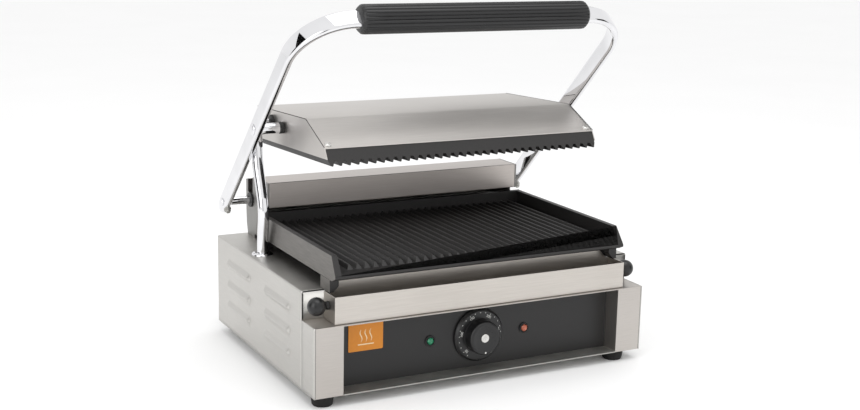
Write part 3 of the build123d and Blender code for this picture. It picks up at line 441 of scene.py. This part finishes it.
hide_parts("housing_shell")
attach(housing, "base")


# ------------------------------------------------------------------ wings and tray ledge
# The ledge, the two wing faces and their returns are folded from one brushed sheet and meet the
# sides in a tight corner seam; the shade in that seam is painted as a thin near-black strip.
def softened(node, width, finish, name, angle=28, segments=2):
    """A merged copy of a node of the drawing whose edges are eased by width."""
    mesh = frame["nodes"][node].data.copy()
    mesh.name = name
    stale = mesh.attributes.get("custom_normal")
    if stale:
        mesh.attributes.remove(stale)
    bm = bmesh.new()
    bm.from_mesh(mesh)
    bmesh.ops.remove_doubles(bm, verts=bm.verts, dist=2e-6)
    bmesh.ops.dissolve_limit(bm, angle_limit=math.radians(0.6), verts=bm.verts, edges=bm.edges)
    bm.to_mesh(mesh)
    bm.free()
    mesh.shade_smooth()
    mesh.materials.clear()
    mesh.materials.append(finish.material)
    made = place(name, mesh)
    ease = made.modifiers.new("ease", "BEVEL")
    ease.width, ease.segments, ease.limit_method = width, segments, "ANGLE"
    ease.angle_limit = math.radians(angle)
    ease.harden_normals = True
    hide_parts(node)
    return made


def strip(name, ends, width, out, finish, body):
    """A thin near-black strip of painted shade where two sheets meet, standing for the shadow in the gap: a
    flat strip between two points, facing out.
    """
    a, b, out = Vector(ends[0]), Vector(ends[1]), Vector(out).normalized()
    side = (b - a).cross(out).normalized() * width / 2
    low, high = -out * width * 0.3, out * width * 0.25
    corners = [p + s + h for p in (a, b) for s in (-side, side) for h in (low, high)]
    mesh = bpy.data.meshes.new(name)
    mesh.from_pydata(corners, [], [(0, 1, 3, 2), (4, 6, 7, 5), (0, 4, 5, 1), (2, 3, 7, 6), (1, 5, 7, 3),
                                   (0, 2, 6, 4)])
    made = place(name, finished(mesh, finish))
    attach(made, body)
    return made


wing_steel = brushed("wing_steel", rgb(168, 163, 158), rgb(212, 207, 202), (40, 1200, 1400), 0.34)
# Near-black finish for the strips of painted shade that stand for the shadow in gaps between sheets.
seam_gap_shade = speckled("seam_shadow", rgb(14, 13, 12), rgb(24, 22, 21), 300, 0.7)
wings = softened("front_frame", 0.0007, wing_steel, "wings")
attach(wings, "base")
inner_x = 0.2058
# Thin strips of painted shade in the corner gaps beside the wings and the riser.
for side in (-1, 1):
    seam = strip(f"wing_seam_{side + 1}", [(side * inner_x, front_y + 0.0002, base_z + 0.001),
                                          (side * inner_x, front_y + 0.0002, ledge_z - 0.0005)],
                 0.0006, (0, -1, 0), seam_gap_shade, "base")
    seam = strip(f"riser_seam_{side + 1}", [(side * (side_x - 0.001), riser_y - 0.0002, ledge_z + 0.001),
                                           (side * (side_x - 0.001), riser_y - 0.0002, deck_z - 0.002)],
                 0.0007, (0, -1, 0), seam_gap_shade, "base")


# ------------------------------------------------------------------ mains gland and rear screws
# The mains lead comes in through a black moulded gland; three pan-head screws hold the rear sheet.
moulding = Finish("black_moulding", Specular_IOR_Level=0.5)
flow = moulding.noise((250, 250, 250), 3)
moulding.feed("Base Color", moulding.mix(flow, rgb(18, 18, 19), rgb(30, 30, 31)))
moulding.feed("Roughness", flow * 0.15 + 0.28)
moulding.bump(flow, 0.06, 0.0003)
paint("mains_gland", moulding)


def screw_pattern(name, radius, height, finish):
    """A domed pan head along +Z with a cross recess sunk in it."""
    profile = [(-0.0003, radius * 0.98), (height * 0.3, radius)]
    profile += [(height * (0.3 + 0.7 * math.sin(t)), radius * math.cos(t)) for t in (0.5, 0.9, 1.2, 1.45)]
    head = turned(name, (0, 0, 0), (0, 0, 1), profile, finish, 32)
    bm = bmesh.new()
    bm.from_mesh(head.data)
    arm, wide, top, low = radius * 0.55, radius * 0.13, height * 1.06, height * 0.72
    for a, b in ((arm, wide), (wide, arm)):
        corners = [bm.verts.new((x, y, z)) for z in (low, top)
                   for x, y in ((-a, -b), (a, -b), (a, b), (-a, b))]
        for f in ((3, 2, 1, 0), (4, 5, 6, 7), (0, 1, 5, 4), (1, 2, 6, 5), (2, 3, 7, 6), (3, 0, 4, 7)):
            bm.faces.new([corners[i] for i in f])
    bm.to_mesh(head.data)
    bm.free()
    return head


bright = Finish("bright_screw", Metallic=1.0)
smear = bright.noise((500, 500, 500))
bright.feed("Base Color", bright.mix(smear, rgb(198, 196, 192), rgb(226, 225, 222)))
bright.feed("Roughness", smear * 0.15 + 0.18)
bright.bump(smear, 0.05, 0.0002)
rear_heads = repeated("rear_heads", screw_pattern("rear_head", 0.0035, 0.002, bright),
                      [(x, 0.1425, 0.108) for x in (-0.15, 0, 0.15)], bright, (-math.pi / 2, 0, 0))
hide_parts("body_screws")
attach(rear_heads, "base")


# ------------------------------------------------------------------ control panel and badge
# The control panel is satin black painted sheet set back between the wings. A plain orange plate with
# three rising heat lines is riveted at its left end.
satin = Finish("satin_black", Specular_IOR_Level=0.45)
orange_peel = satin.noise((600, 600, 600), 2)
satin.feed("Base Color", satin.mix(satin.noise((4, 4, 4)), rgb(26, 26, 27), rgb(36, 35, 35)))
satin.feed("Roughness", orange_peel * 0.1 + 0.36)
satin.bump(orange_peel, 0.08, 0.0002)
paint("control_panel", satin)

badge_paint = speckled("badge_orange", rgb(206, 126, 28), rgb(218, 138, 36), 200, 0.42, 0.0, 0.03)
badge = softened("panel_badge", 0.0002, badge_paint, "badge")
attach(badge, "base")
badge_lo, badge_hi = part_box("panel_badge")
cream = speckled("badge_cream", rgb(236, 214, 170), rgb(246, 226, 188), 200, 0.5)
points, faces = [], []
for k in range(3):
    middle = badge_lo[0] + (badge_hi[0] - badge_lo[0]) * (0.36 + 0.14 * k)
    for i in range(25):
        t = i / 24
        z = badge_lo[2] + (badge_hi[2] - badge_lo[2]) * (0.3 + 0.42 * t)
        x = middle + 0.0012 * math.sin(t * 2 * math.pi)
        half = 0.0006 * math.sin(math.pi * (0.08 + 0.84 * t))
        points += [(x - half, badge_lo[1] - 0.0001, z), (x + half, badge_lo[1] - 0.0001, z)]
        if i:
            n = len(points)
            faces.append((n - 4, n - 3, n - 1, n - 2))
low = badge_lo[2] + (badge_hi[2] - badge_lo[2]) * 0.2
bar_x = [badge_lo[0] + (badge_hi[0] - badge_lo[0]) * s for s in (0.27, 0.73)]
n = len(points)
points += [(bar_x[0], badge_lo[1] - 0.0001, low), (bar_x[1], badge_lo[1] - 0.0001, low),
           (bar_x[1], badge_lo[1] - 0.0001, low + 0.0012), (bar_x[0], badge_lo[1] - 0.0001, low + 0.0012)]
faces.append((n, n + 1, n + 2, n + 3))
mark_mesh = bpy.data.meshes.new("heat_lines")
mark_mesh.from_pydata(points, [], faces)
mark_mesh.materials.append(cream.material)
heat_lines = place("heat_lines", mark_mesh)
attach(heat_lines, "base")


# ------------------------------------------------------------------ lamps
# Two neon lamps with faceted plastic lenses, green and orange, in small black bezels.
def lens_finish(name, deep, pale):
    """Tinted clear plastic."""
    made = Finish(name, Roughness=0.12, Transmission_Weight=0.25, IOR=1.49)
    depth = made.noise((350, 350, 350), 2)
    made.feed("Base Color", made.mix(depth, deep, pale))
    return made.bump(depth, 0.04, 0.0002)


for node, finish, slot in (
    ("green_lamp", lens_finish("green_lens", rgb(24, 120, 84), rgb(70, 176, 130)), "green_lens"),
    ("orange_lamp", lens_finish("orange_lens", rgb(196, 92, 70), rgb(238, 150, 122)), "orange_lens"),
):
    lo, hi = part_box(node)
    x, z, y = (lo[0] + hi[0]) / 2, (lo[2] + hi[2]) / 2, lo[1]
    lens = turned(node + "_lens", (x, y, z), (0, 1, 0),
                  [(0.0, 0.0009), (0.0001, 0.0016), (0.0012, 0.0031), (0.0024, 0.0040), (0.0085, 0.0040)],
                  finish, 8, 5)
    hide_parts(node)
    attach(lens, "base")
panel_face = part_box("panel_badge")[1][1]
bezel = turned("bezel", (0, 0, 0), (0, -1, 0),
               [(-0.0002, 0.0043), (0.0009, 0.0043), (0.0020, 0.0046), (0.0022, 0.0052), (0.0016, 0.0060),
                (-0.0002, 0.0062)], moulding)
lamp_z = (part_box("green_lamp")[0][2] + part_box("green_lamp")[1][2]) / 2
bezels = repeated("bezels", bezel, [(s * 0.0603, panel_face, lamp_z) for s in (-1, 1)], moulding)
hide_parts("lamp_bezels")
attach(bezels, "base")


# ------------------------------------------------------------------ thermostat knob
# A turned and printed phenolic knob: a bevelled skirt with a scale of white dots and numbers, a round
# grip with a dished face, and a small bright disc pressed into its middle.
lo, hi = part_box("thermostat_knob")
knob_x, knob_z, knob_back, knob_face = 0.0, (lo[2] + hi[2]) / 2, hi[1], lo[1]
knob_black = Finish("knob_black", Specular_IOR_Level=0.5)
turning = knob_black.noise((300, 300, 300), 2)
knob_black.feed("Base Color", knob_black.mix(turning, rgb(17, 17, 18), rgb(26, 26, 27)))
knob_black.feed("Roughness", turning * 0.12 + 0.24)
knob_black.bump(turning, 0.03, 0.0002)
skirt_front = knob_back - 0.005
profile = [(0.0, 0.0298), (-0.0005, 0.0305), (-0.0024, 0.0305), (-0.0027, 0.0302), (-0.0049, 0.0283),
           (-0.0050, 0.0278), (-0.0050, 0.0198), (-0.0053, 0.0195), (-0.0160, 0.0192), (-0.0176, 0.0186),
           (-0.0187, 0.0172), (-0.0190, 0.0158), (-0.0186, 0.0145), (-0.0176, 0.0100), (-0.0170, 0.0056),
           (-0.0169, 0.0004)]
knob = turned("knob", (knob_x, knob_back, knob_z), (0, 1, 0), profile, knob_black, 96)
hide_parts("thermostat_knob")
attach(knob, "dial")
cap = turned("knob_disc", (knob_x, knob_back - 0.0165, knob_z), (0, -1, 0),
             [(0, 0.0046), (0.0008, 0.0049), (0.0011, 0.0046), (0.0011, 0.0012), (0.0007, 0.0004)], bright, 48)
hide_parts("knob_cap")
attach(cap, "dial")
print_white = speckled("print_white", rgb(206, 206, 202), rgb(228, 228, 224), 300, 0.5)
dot = turned("dot", (0, 0, 0), (0, -1, 0), [(-0.0002, 0.0005), (0.00008, 0.0005)], print_white, 10)
angles = [math.radians(235 - 290 * i / 20) for i in range(21)]
scale_r = 0.0264
dot_spots = [(knob_x + scale_r * math.cos(a), skirt_front, knob_z + scale_r * math.sin(a)) for a in angles]
dots = repeated("scale_dots", dot, dot_spots, print_white)
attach(dots, "dial")
mark = turned("pointer_dot", (knob_x, knob_back - 0.0188, knob_z - 0.0163), (0, -1, 0),
              [(-0.0002, 0.0010), (0.0002, 0.0010)], print_white, 16)
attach(mark, "dial")
figures = bmesh.new()
for i, number in enumerate(("50", "100", "150", "200", "250", "300")):
    turn = math.radians(225 - 270 * i / 5)
    words = bpy.data.curves.new("figure", "FONT")
    words.body, words.size, words.align_x, words.align_y = number, 0.0043, "CENTER", "CENTER"
    words.extrude = 0.00006
    text = place("figure", words)
    graph = bpy.context.evaluated_depsgraph_get()
    flat = bpy.data.meshes.new_from_object(text.evaluated_get(graph), depsgraph=graph)
    spot = Vector((knob_x + 0.0232 * math.cos(turn), skirt_front - 0.00005, knob_z + 0.0232 * math.sin(turn)))
    flat.transform(Matrix.Translation(spot) @ Matrix.Rotation(math.pi / 2 - turn, 4, "Y") @
                   Matrix.Rotation(math.pi / 2, 4, "X"))
    figures.from_mesh(flat)
    bpy.data.objects.remove(text)
figure_mesh = bpy.data.meshes.new("scale_figures")
figures.to_mesh(figure_mesh)
figures.free()
figure_mesh.materials.clear()
figure_mesh.materials.append(print_white.material)
scale_figures = place("scale_figures", figure_mesh)
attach(scale_figures, "dial")


# ------------------------------------------------------------------ lower plate and its supports
# A ribbed iron casting, enamelled satin black where it cooks; its outer side faces get a grey metal finish.
# It stands on four cast blocks.
iron = Finish("enamelled_iron", Specular_IOR_Level=0.5)
sand = iron.noise((450, 450, 450), 4)
iron.feed("Base Color", iron.mix(sand, rgb(24, 23, 23), rgb(42, 40, 39)))
iron.feed("Roughness", sand * 0.2 + 0.36)
iron.bump(sand, 0.25, 0.0003)
grey_side = Finish("grey_side_iron", Metallic=1.0)
side_grain = grey_side.noise((50, 50, 900), 4)
grey_side.feed("Base Color", grey_side.mix(side_grain, rgb(96, 94, 92), rgb(150, 147, 143)))
grey_side.feed("Roughness", side_grain * 0.2 + 0.38)
grey_side.bump(side_grain, 0.15, 0.0003)


def give_grey_sides(piece, test):
    """Gives the faces that pass test the grey side finish."""
    piece.data.materials.append(grey_side.material)
    for face in piece.data.polygons:
        if test(face):
            face.material_index = 1


lower_plate = softened("lower_grill_plate", 0.0005, iron, "lower_plate", 30)
give_grey_sides(lower_plate, lambda face: abs(face.normal.x) > 0.9 and abs(face.center.x) > 0.178)
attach(lower_plate, "base")
supports = softened("plate_supports", 0.0008, iron, "supports")
give_grey_sides(supports, lambda face: abs(face.normal.x) > 0.9 and abs(face.center.x) > 0.178)
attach(supports, "base")


# ------------------------------------------------------------------ drip tray
# A folded trough of thin brushed steel whose back rises under the lip of the plate, lifted out by a
# glossy black ball at each end.
tray_steel = brushed("tray_steel", rgb(176, 170, 163), rgb(222, 217, 211), (30, 1000, 1300), 0.32)
tray = softened("drip_tray", 0.0004, tray_steel, "tray")
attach(tray, "tray")
lo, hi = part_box("tray_knobs")
ball_y, ball_z, ball_r = (lo[1] + hi[1]) / 2, (lo[2] + hi[2]) / 2, (hi[2] - lo[2]) / 2
for side in (-1, 1):
    profile = [(-0.0134, 0.0042), (-0.0134, 0.0047), (-0.0118, 0.0047), (-0.0100, 0.0042), (-0.0093, 0.0044)]
    profile += [(-ball_r * math.cos(t), ball_r * math.sin(t))
                for t in (math.pi * k / 24 for k in range(4, 24))]
    profile += [(ball_r * 0.9995, 0.0003)]
    ball = turned(f"ball_{side + 1}", (side * (hi[0] - ball_r), ball_y, ball_z), (side, 0, 0), profile,
                  knob_black, 48)
    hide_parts("tray_knobs")
    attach(ball, "tray")


# ------------------------------------------------------------------ hinge box
# A folded brushed cover between two laser-cut end plates, each with an open lifting slot; flanged
# bushes carry the shaft.
box_steel = brushed("box_steel", rgb(178, 170, 165), rgb(216, 210, 205), (30, 1000, 1300), 0.33)
box_cover = softened("hinge_box_cover", 0.0008, box_steel, "box_cover")
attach(box_cover, "base")
plate_grey = brushed("plate_grey", rgb(128, 127, 125), rgb(166, 165, 162), (900, 50, 50), 0.4)
end_plates = softened("hinge_end_plates", 0.0003, plate_grey, "end_plates")
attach(end_plates, "base")
lo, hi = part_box("hinge_box_cover")
# A thin strip of painted shade along the gap at the top front edge of the box cover.
seam = strip("box_seam", [(x, lo[1] + 0.0005, hi[2] - 0.0003) for x in (lo[0] + 0.001, hi[0] - 0.001)],
             0.0008, (0, -1, 0.6), seam_gap_shade, "base")


# ------------------------------------------------------------------ shaft, pins, spacers and washers
# The shaft, pivot pins and spacer tubes are turned steel, polished and chromed; black washers stand
# between the spacers and the cover.
chrome = Finish("chrome", Metallic=1.0)
haze = chrome.noise((40, 40, 40), 2)
chrome.feed("Base Color", chrome.mix(haze, rgb(222, 222, 224), rgb(238, 238, 240)))
chrome.feed("Roughness", haze * 0.04 + 0.03)
hinge = Vector(next(j["pos_m"] for j in frame["joints"] if j["name"] == "handle_lift"))
pivot = Vector(next(j["pos_m"] for j in frame["joints"] if j["name"] == "plate_tilt"))
arm_in, arm_out = 0.1983, 0.2065
bush_black = speckled("bush_black", rgb(22, 22, 22), rgb(40, 40, 40), 300, 0.4)
for side in (-1, 1):
    tag = "left" if side < 0 else "right"
    out = (side, 0, 0)
    made = []
    shaft = turned(f"shaft_{tag}", (0, hinge.y, hinge.z), out,
                   [(0, 0.005), (0.1985, 0.005), (0.2072, 0.005), (0.2080, 0.0043)], chrome)
    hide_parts("hinge_shaft")
    made.append((shaft, "bright_steel"))
    spacer = turned(f"spacer_{tag}", (side * 0.1756, pivot.y, pivot.z), out,
                    [(0, 0.0042), (0, 0.0060), (0.0003, 0.0062), (0.0223, 0.0062), (0.0226, 0.0060)], chrome)
    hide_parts("pivot_spacers")
    made.append((spacer, "bright_steel"))
    profile = [(-0.045, 0.004), (0, 0.004), (0, 0.0068), (0.0004, 0.007)]
    profile += [(0.0004 + 0.0016 * math.sin(t), 0.007 * math.cos(t) ** 0.6)
                for t in (0.4, 0.8, 1.1, 1.35, 1.52)]
    pin = turned(f"pin_{tag}", (side * arm_out, pivot.y, pivot.z), out, profile, chrome)
    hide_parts("pivot_pins")
    made.append((pin, "bright_steel"))
    for piece, slot in made:
        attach(piece, "handle")
    bush = turned(f"bush_{tag}", (side * 0.162, hinge.y, hinge.z), out,
                  [(0, 0.0053), (0, 0.006), (0.008, 0.006), (0.008, 0.0086), (0.0083, 0.009), (0.0097, 0.009),
                   (0.0100, 0.0087), (0.0100, 0.0053)], bush_black)
    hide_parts("hinge_bushes")
    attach(bush, "base")
    washer = turned(f"washer_{tag}", (side * 0.17, pivot.y, pivot.z), out,
                    [(0, 0.0062), (0.0006, 0.0067), (0.0048, 0.0067), (0.0055, 0.0062), (0.0055, 0.0043)],
                    bush_black)
    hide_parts("pivot_washers")
    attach(washer, "upper")


# ------------------------------------------------------------------ handle bar
# One flat bar of steel with round edges, bent to a U with 60 mm bends, polished and chromed; a set
# screw with a nut locks each end to the shaft.
bar_wide, bar_thick, bar_edge, bar_bend, arm_long = 0.021, 0.0082, 0.0034, 0.060, 0.339
along = (pivot - hinge).normalized()
across = Vector((1, 0, 0)).cross(along).normalized()
if across.z < 0:
    across = -across
arm_x = (arm_in + arm_out) / 2
top = hinge + along * arm_long
route = []
foot_spot = hinge - along * 0.0055
to_left = Vector((-arm_x, 0, 0))
for k in range(9):
    t = math.pi / 2 * (1 - k / 8)
    route.append((foot_spot - along * (bar_wide / 2 * math.sin(t)) + to_left, along, max(math.cos(t), 0.02)))
route.append((hinge + along * 0.02 + to_left, along, 1.0))
for k in range(25):
    t = math.pi / 2 * k / 24
    spot = (top - along * bar_bend + along * (bar_bend * math.sin(t)) +
            Vector((-arm_x + bar_bend * (1 - math.cos(t)), 0, 0)))
    route.append((spot, along * math.cos(t) + Vector((math.sin(t), 0, 0)), 1.0))
mirror = Matrix.Scale(-1, 3, Vector((1, 0, 0)))
route += [(mirror @ spot, -(mirror @ way), share) for spot, way, share in reversed(route)]
points, faces = [], []
corner = []
for cx, cy, start in ((1, 1, 0), (-1, 1, 90), (-1, -1, 180), (1, -1, 270)):
    for k in range(7):
        t = math.radians(start + 15 * k)
        corner.append((cx * (bar_wide / 2 - bar_edge) + bar_edge * math.cos(t),
                       cy * (bar_thick / 2 - bar_edge) + bar_edge * math.sin(t)))
for spot, way, share in route:
    thin = way.normalized().cross(across)
    points += [spot + across * (u * share) + thin * v for u, v in corner]
n = len(corner)
for j in range(len(route) - 1):
    for i in range(n):
        a, b = j * n + i, j * n + (i + 1) % n
        faces.append((a, b, b + n, a + n))
faces += [tuple(range(n)), tuple(range(len(points) - n, len(points)))]
bar_mesh = bpy.data.meshes.new("bar")
bar_mesh.from_pydata(points, [], faces)
bar = place("bar", finished(bar_mesh, chrome, 60))
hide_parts("handle_bar")
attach(bar, "handle")
for side in (-1, 1):
    under = hinge + Vector((side * arm_x, 0, 0)) - across * (bar_wide / 2)
    locking = turned(f"set_screw_{side + 1}", under + across * 0.0006, -across,
                     [(0, 0.0045), (0.0012, 0.0045), (0.0016, 0.0036), (0.0036, 0.0036), (0.0040, 0.0028),
                      (0.0055, 0.0026), (0.0056, 0.0006)], zinc, 12, 20)
    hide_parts("shaft_set_screws")
    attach(locking, "handle")


# ------------------------------------------------------------------ handle grip
# A tube of black phenolic with 24 flutes along it and tapered ends, pushed on the middle of the bar.
grip_round, grip_half, flutes, flute_deep = 0.01575, 0.139, 24, 0.0009
points, faces = [], []
n = flutes * 8
stations = [(0, 0.80, 0), (0.0002, 0.83, 0), (0.003, 0.985, 0.4), (0.006, 1, 0.9), (0.02, 1, 1)]
stations = ([(-grip_half + d, s, f) for d, s, f in stations] +
            [(grip_half - d, s, f) for d, s, f in reversed(stations)])
for x, share, cut in stations:
    for i in range(n):
        turn = 2 * math.pi * i / n
        radius = grip_round * share - flute_deep * cut * max(0, math.cos(flutes * turn)) ** 1.5
        points.append(top + Vector((x, 0, 0)) + (across * math.cos(turn) + along * math.sin(turn)) * radius)
for j in range(len(stations) - 1):
    for i in range(n):
        a, b = j * n + i, j * n + (i + 1) % n
        faces.append((a, b, b + n, a + n))
faces += [tuple(range(n)), tuple(range(len(points) - n, len(points)))]
grip_mesh = bpy.data.meshes.new("grip")
grip_mesh.from_pydata(points, [], faces)
grip = place("grip", finished(grip_mesh, moulding, 40))
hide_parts("handle_grip")
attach(grip, "handle")


# ------------------------------------------------------------------ conduit
# A bright sleeve that carries the wires from the deck to the upper element: it stands in a flange on the deck,
# goes up behind the pivot and turns into the cover's side through a black bush.
hose_x, hose_r = -0.1895, 0.0065
hose_line = [(0.045, 0.108), (0.045, 0.124), (0.0432, 0.145), (0.0402, 0.164), (0.0410, 0.180), (0.0480, 0.198),
             (0.0556, 0.215), (0.0595, 0.232), (0.0607, 0.250)]
hose_turn = [(hose_x, 0.0619, 0.262), (hose_x, 0.0624, 0.2712), (-0.181, 0.0624, 0.2714),
             (-0.171, 0.0624, 0.2714)]
curve = bpy.data.curves.new("hose_line", "CURVE")
curve.dimensions = "3D"
route = [(hose_x, y, z) for y, z in hose_line] + hose_turn
spline = curve.splines.new("NURBS")
spline.points.add(len(route) - 1)
for point, spot in zip(spline.points, route):
    point.co = (*spot, 1)
spline.order_u, spline.use_endpoint_u = 3, True
spline.resolution_u = 8
centre = place("hose_line", curve)
graph = bpy.context.evaluated_depsgraph_get()
centre_mesh = bpy.data.meshes.new_from_object(centre.evaluated_get(graph), depsgraph=graph)
middle_line = [v.co.copy() for v in centre_mesh.vertices]
bpy.data.objects.remove(centre)
split_z = 0.236


def hose_piece(name, line):
    """A round sleeve along a line of points."""
    points, faces, sides = [], [], 40
    side = Vector((0, 1, 0))
    for i, spot in enumerate(line):
        way = (line[min(i + 1, len(line) - 1)] - line[max(i - 1, 0)]).normalized()
        side = (side - way * side.dot(way)).normalized()
        other = way.cross(side)
        points += [spot + (side * math.cos(t) + other * math.sin(t)) * hose_r
                   for t in (2 * math.pi * k / sides for k in range(sides))]
    for j in range(len(line) - 1):
        for i in range(sides):
            a, b = j * sides + i, j * sides + (i + 1) % sides
            faces.append((a, b, b + sides, a + sides))
    mesh = bpy.data.meshes.new(name)
    mesh.from_pydata(points, [], faces)
    made = place(name, finished(mesh, chrome, 60))
    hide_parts("conduit_hose")
    return made


cut = next(i for i, p in enumerate(middle_line) if p.z > split_z)
hose_low = hose_piece("conduit_low", middle_line[:cut + 1])
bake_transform(hose_low)
hose_high = hose_piece("conduit_high", middle_line[cut:])
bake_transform(hose_high)
ring_lo, ring_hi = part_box("conduit_ring")
ring_spot = ((ring_lo[0] + ring_hi[0]) / 2, (ring_lo[1] + ring_hi[1]) / 2, ring_lo[2])
ring = turned("deck_flange", ring_spot, (0, 0, 1),
              [(0, 0.0125), (0.0008, 0.0125), (0.0018, 0.0118), (0.0026, 0.0102), (0.0030, 0.0084),
               (0.0030, 0.0069), (0.0004, 0.0067)], chrome)
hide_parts("conduit_ring")
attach(ring, "base")
paint("conduit_bush", moulding)


# ------------------------------------------------------------------ upper plate
# The upper casting, ribbed like the lower one, enamelled black in front and underneath.
upper_plate = softened("upper_grill_plate", 0.0005, iron, "upper_plate", 30)
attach(upper_plate, "upper")


# ------------------------------------------------------------------ upper cover
# A folded brushed cover over the upper casting; the shade in the seams where its side tabs meet the top is
# painted as thin near-black strips, and two washered pan-head screws hold its sloping front.
cover_steel = brushed("cover_steel", rgb(174, 170, 166), rgb(218, 214, 210), (30, 1100, 1100), 0.3)
cover = softened("upper_cover", 0.0009, cover_steel, "cover")
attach(cover, "upper")
# Thin strips of painted shade along the seams of the side tabs.
for side in (-1, 1):
    tag = "left" if side < 0 else "right"
    rear = Vector((side * 0.17, 0.1098, 0.28345))
    front = Vector((side * 0.17, -0.0383, 0.2894))
    slope = Vector((side * 0.17, -0.0896, 0.2664))
    for k, ends in enumerate(((rear, front), (front, slope))):
        seam = strip(f"cover_seam_{tag}_{k}", ends, 0.0007, (side, 0, 0.9), seam_gap_shade, "upper")
lo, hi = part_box("cover_front_screws")
tilt = math.atan2(0.0230, 0.0513)
screw_spots = [(s * 0.1635, (lo[1] + hi[1]) / 2 + 0.0002, (lo[2] + hi[2]) / 2 - 0.0006) for s in (-1, 1)]
cover_screw = screw_pattern("cover_screw", 0.004, 0.0024, bright)
front_screws = repeated("cover_screws", cover_screw, screw_spots, bright, (tilt, 0, 0))
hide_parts("cover_front_screws")
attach(front_screws, "upper")
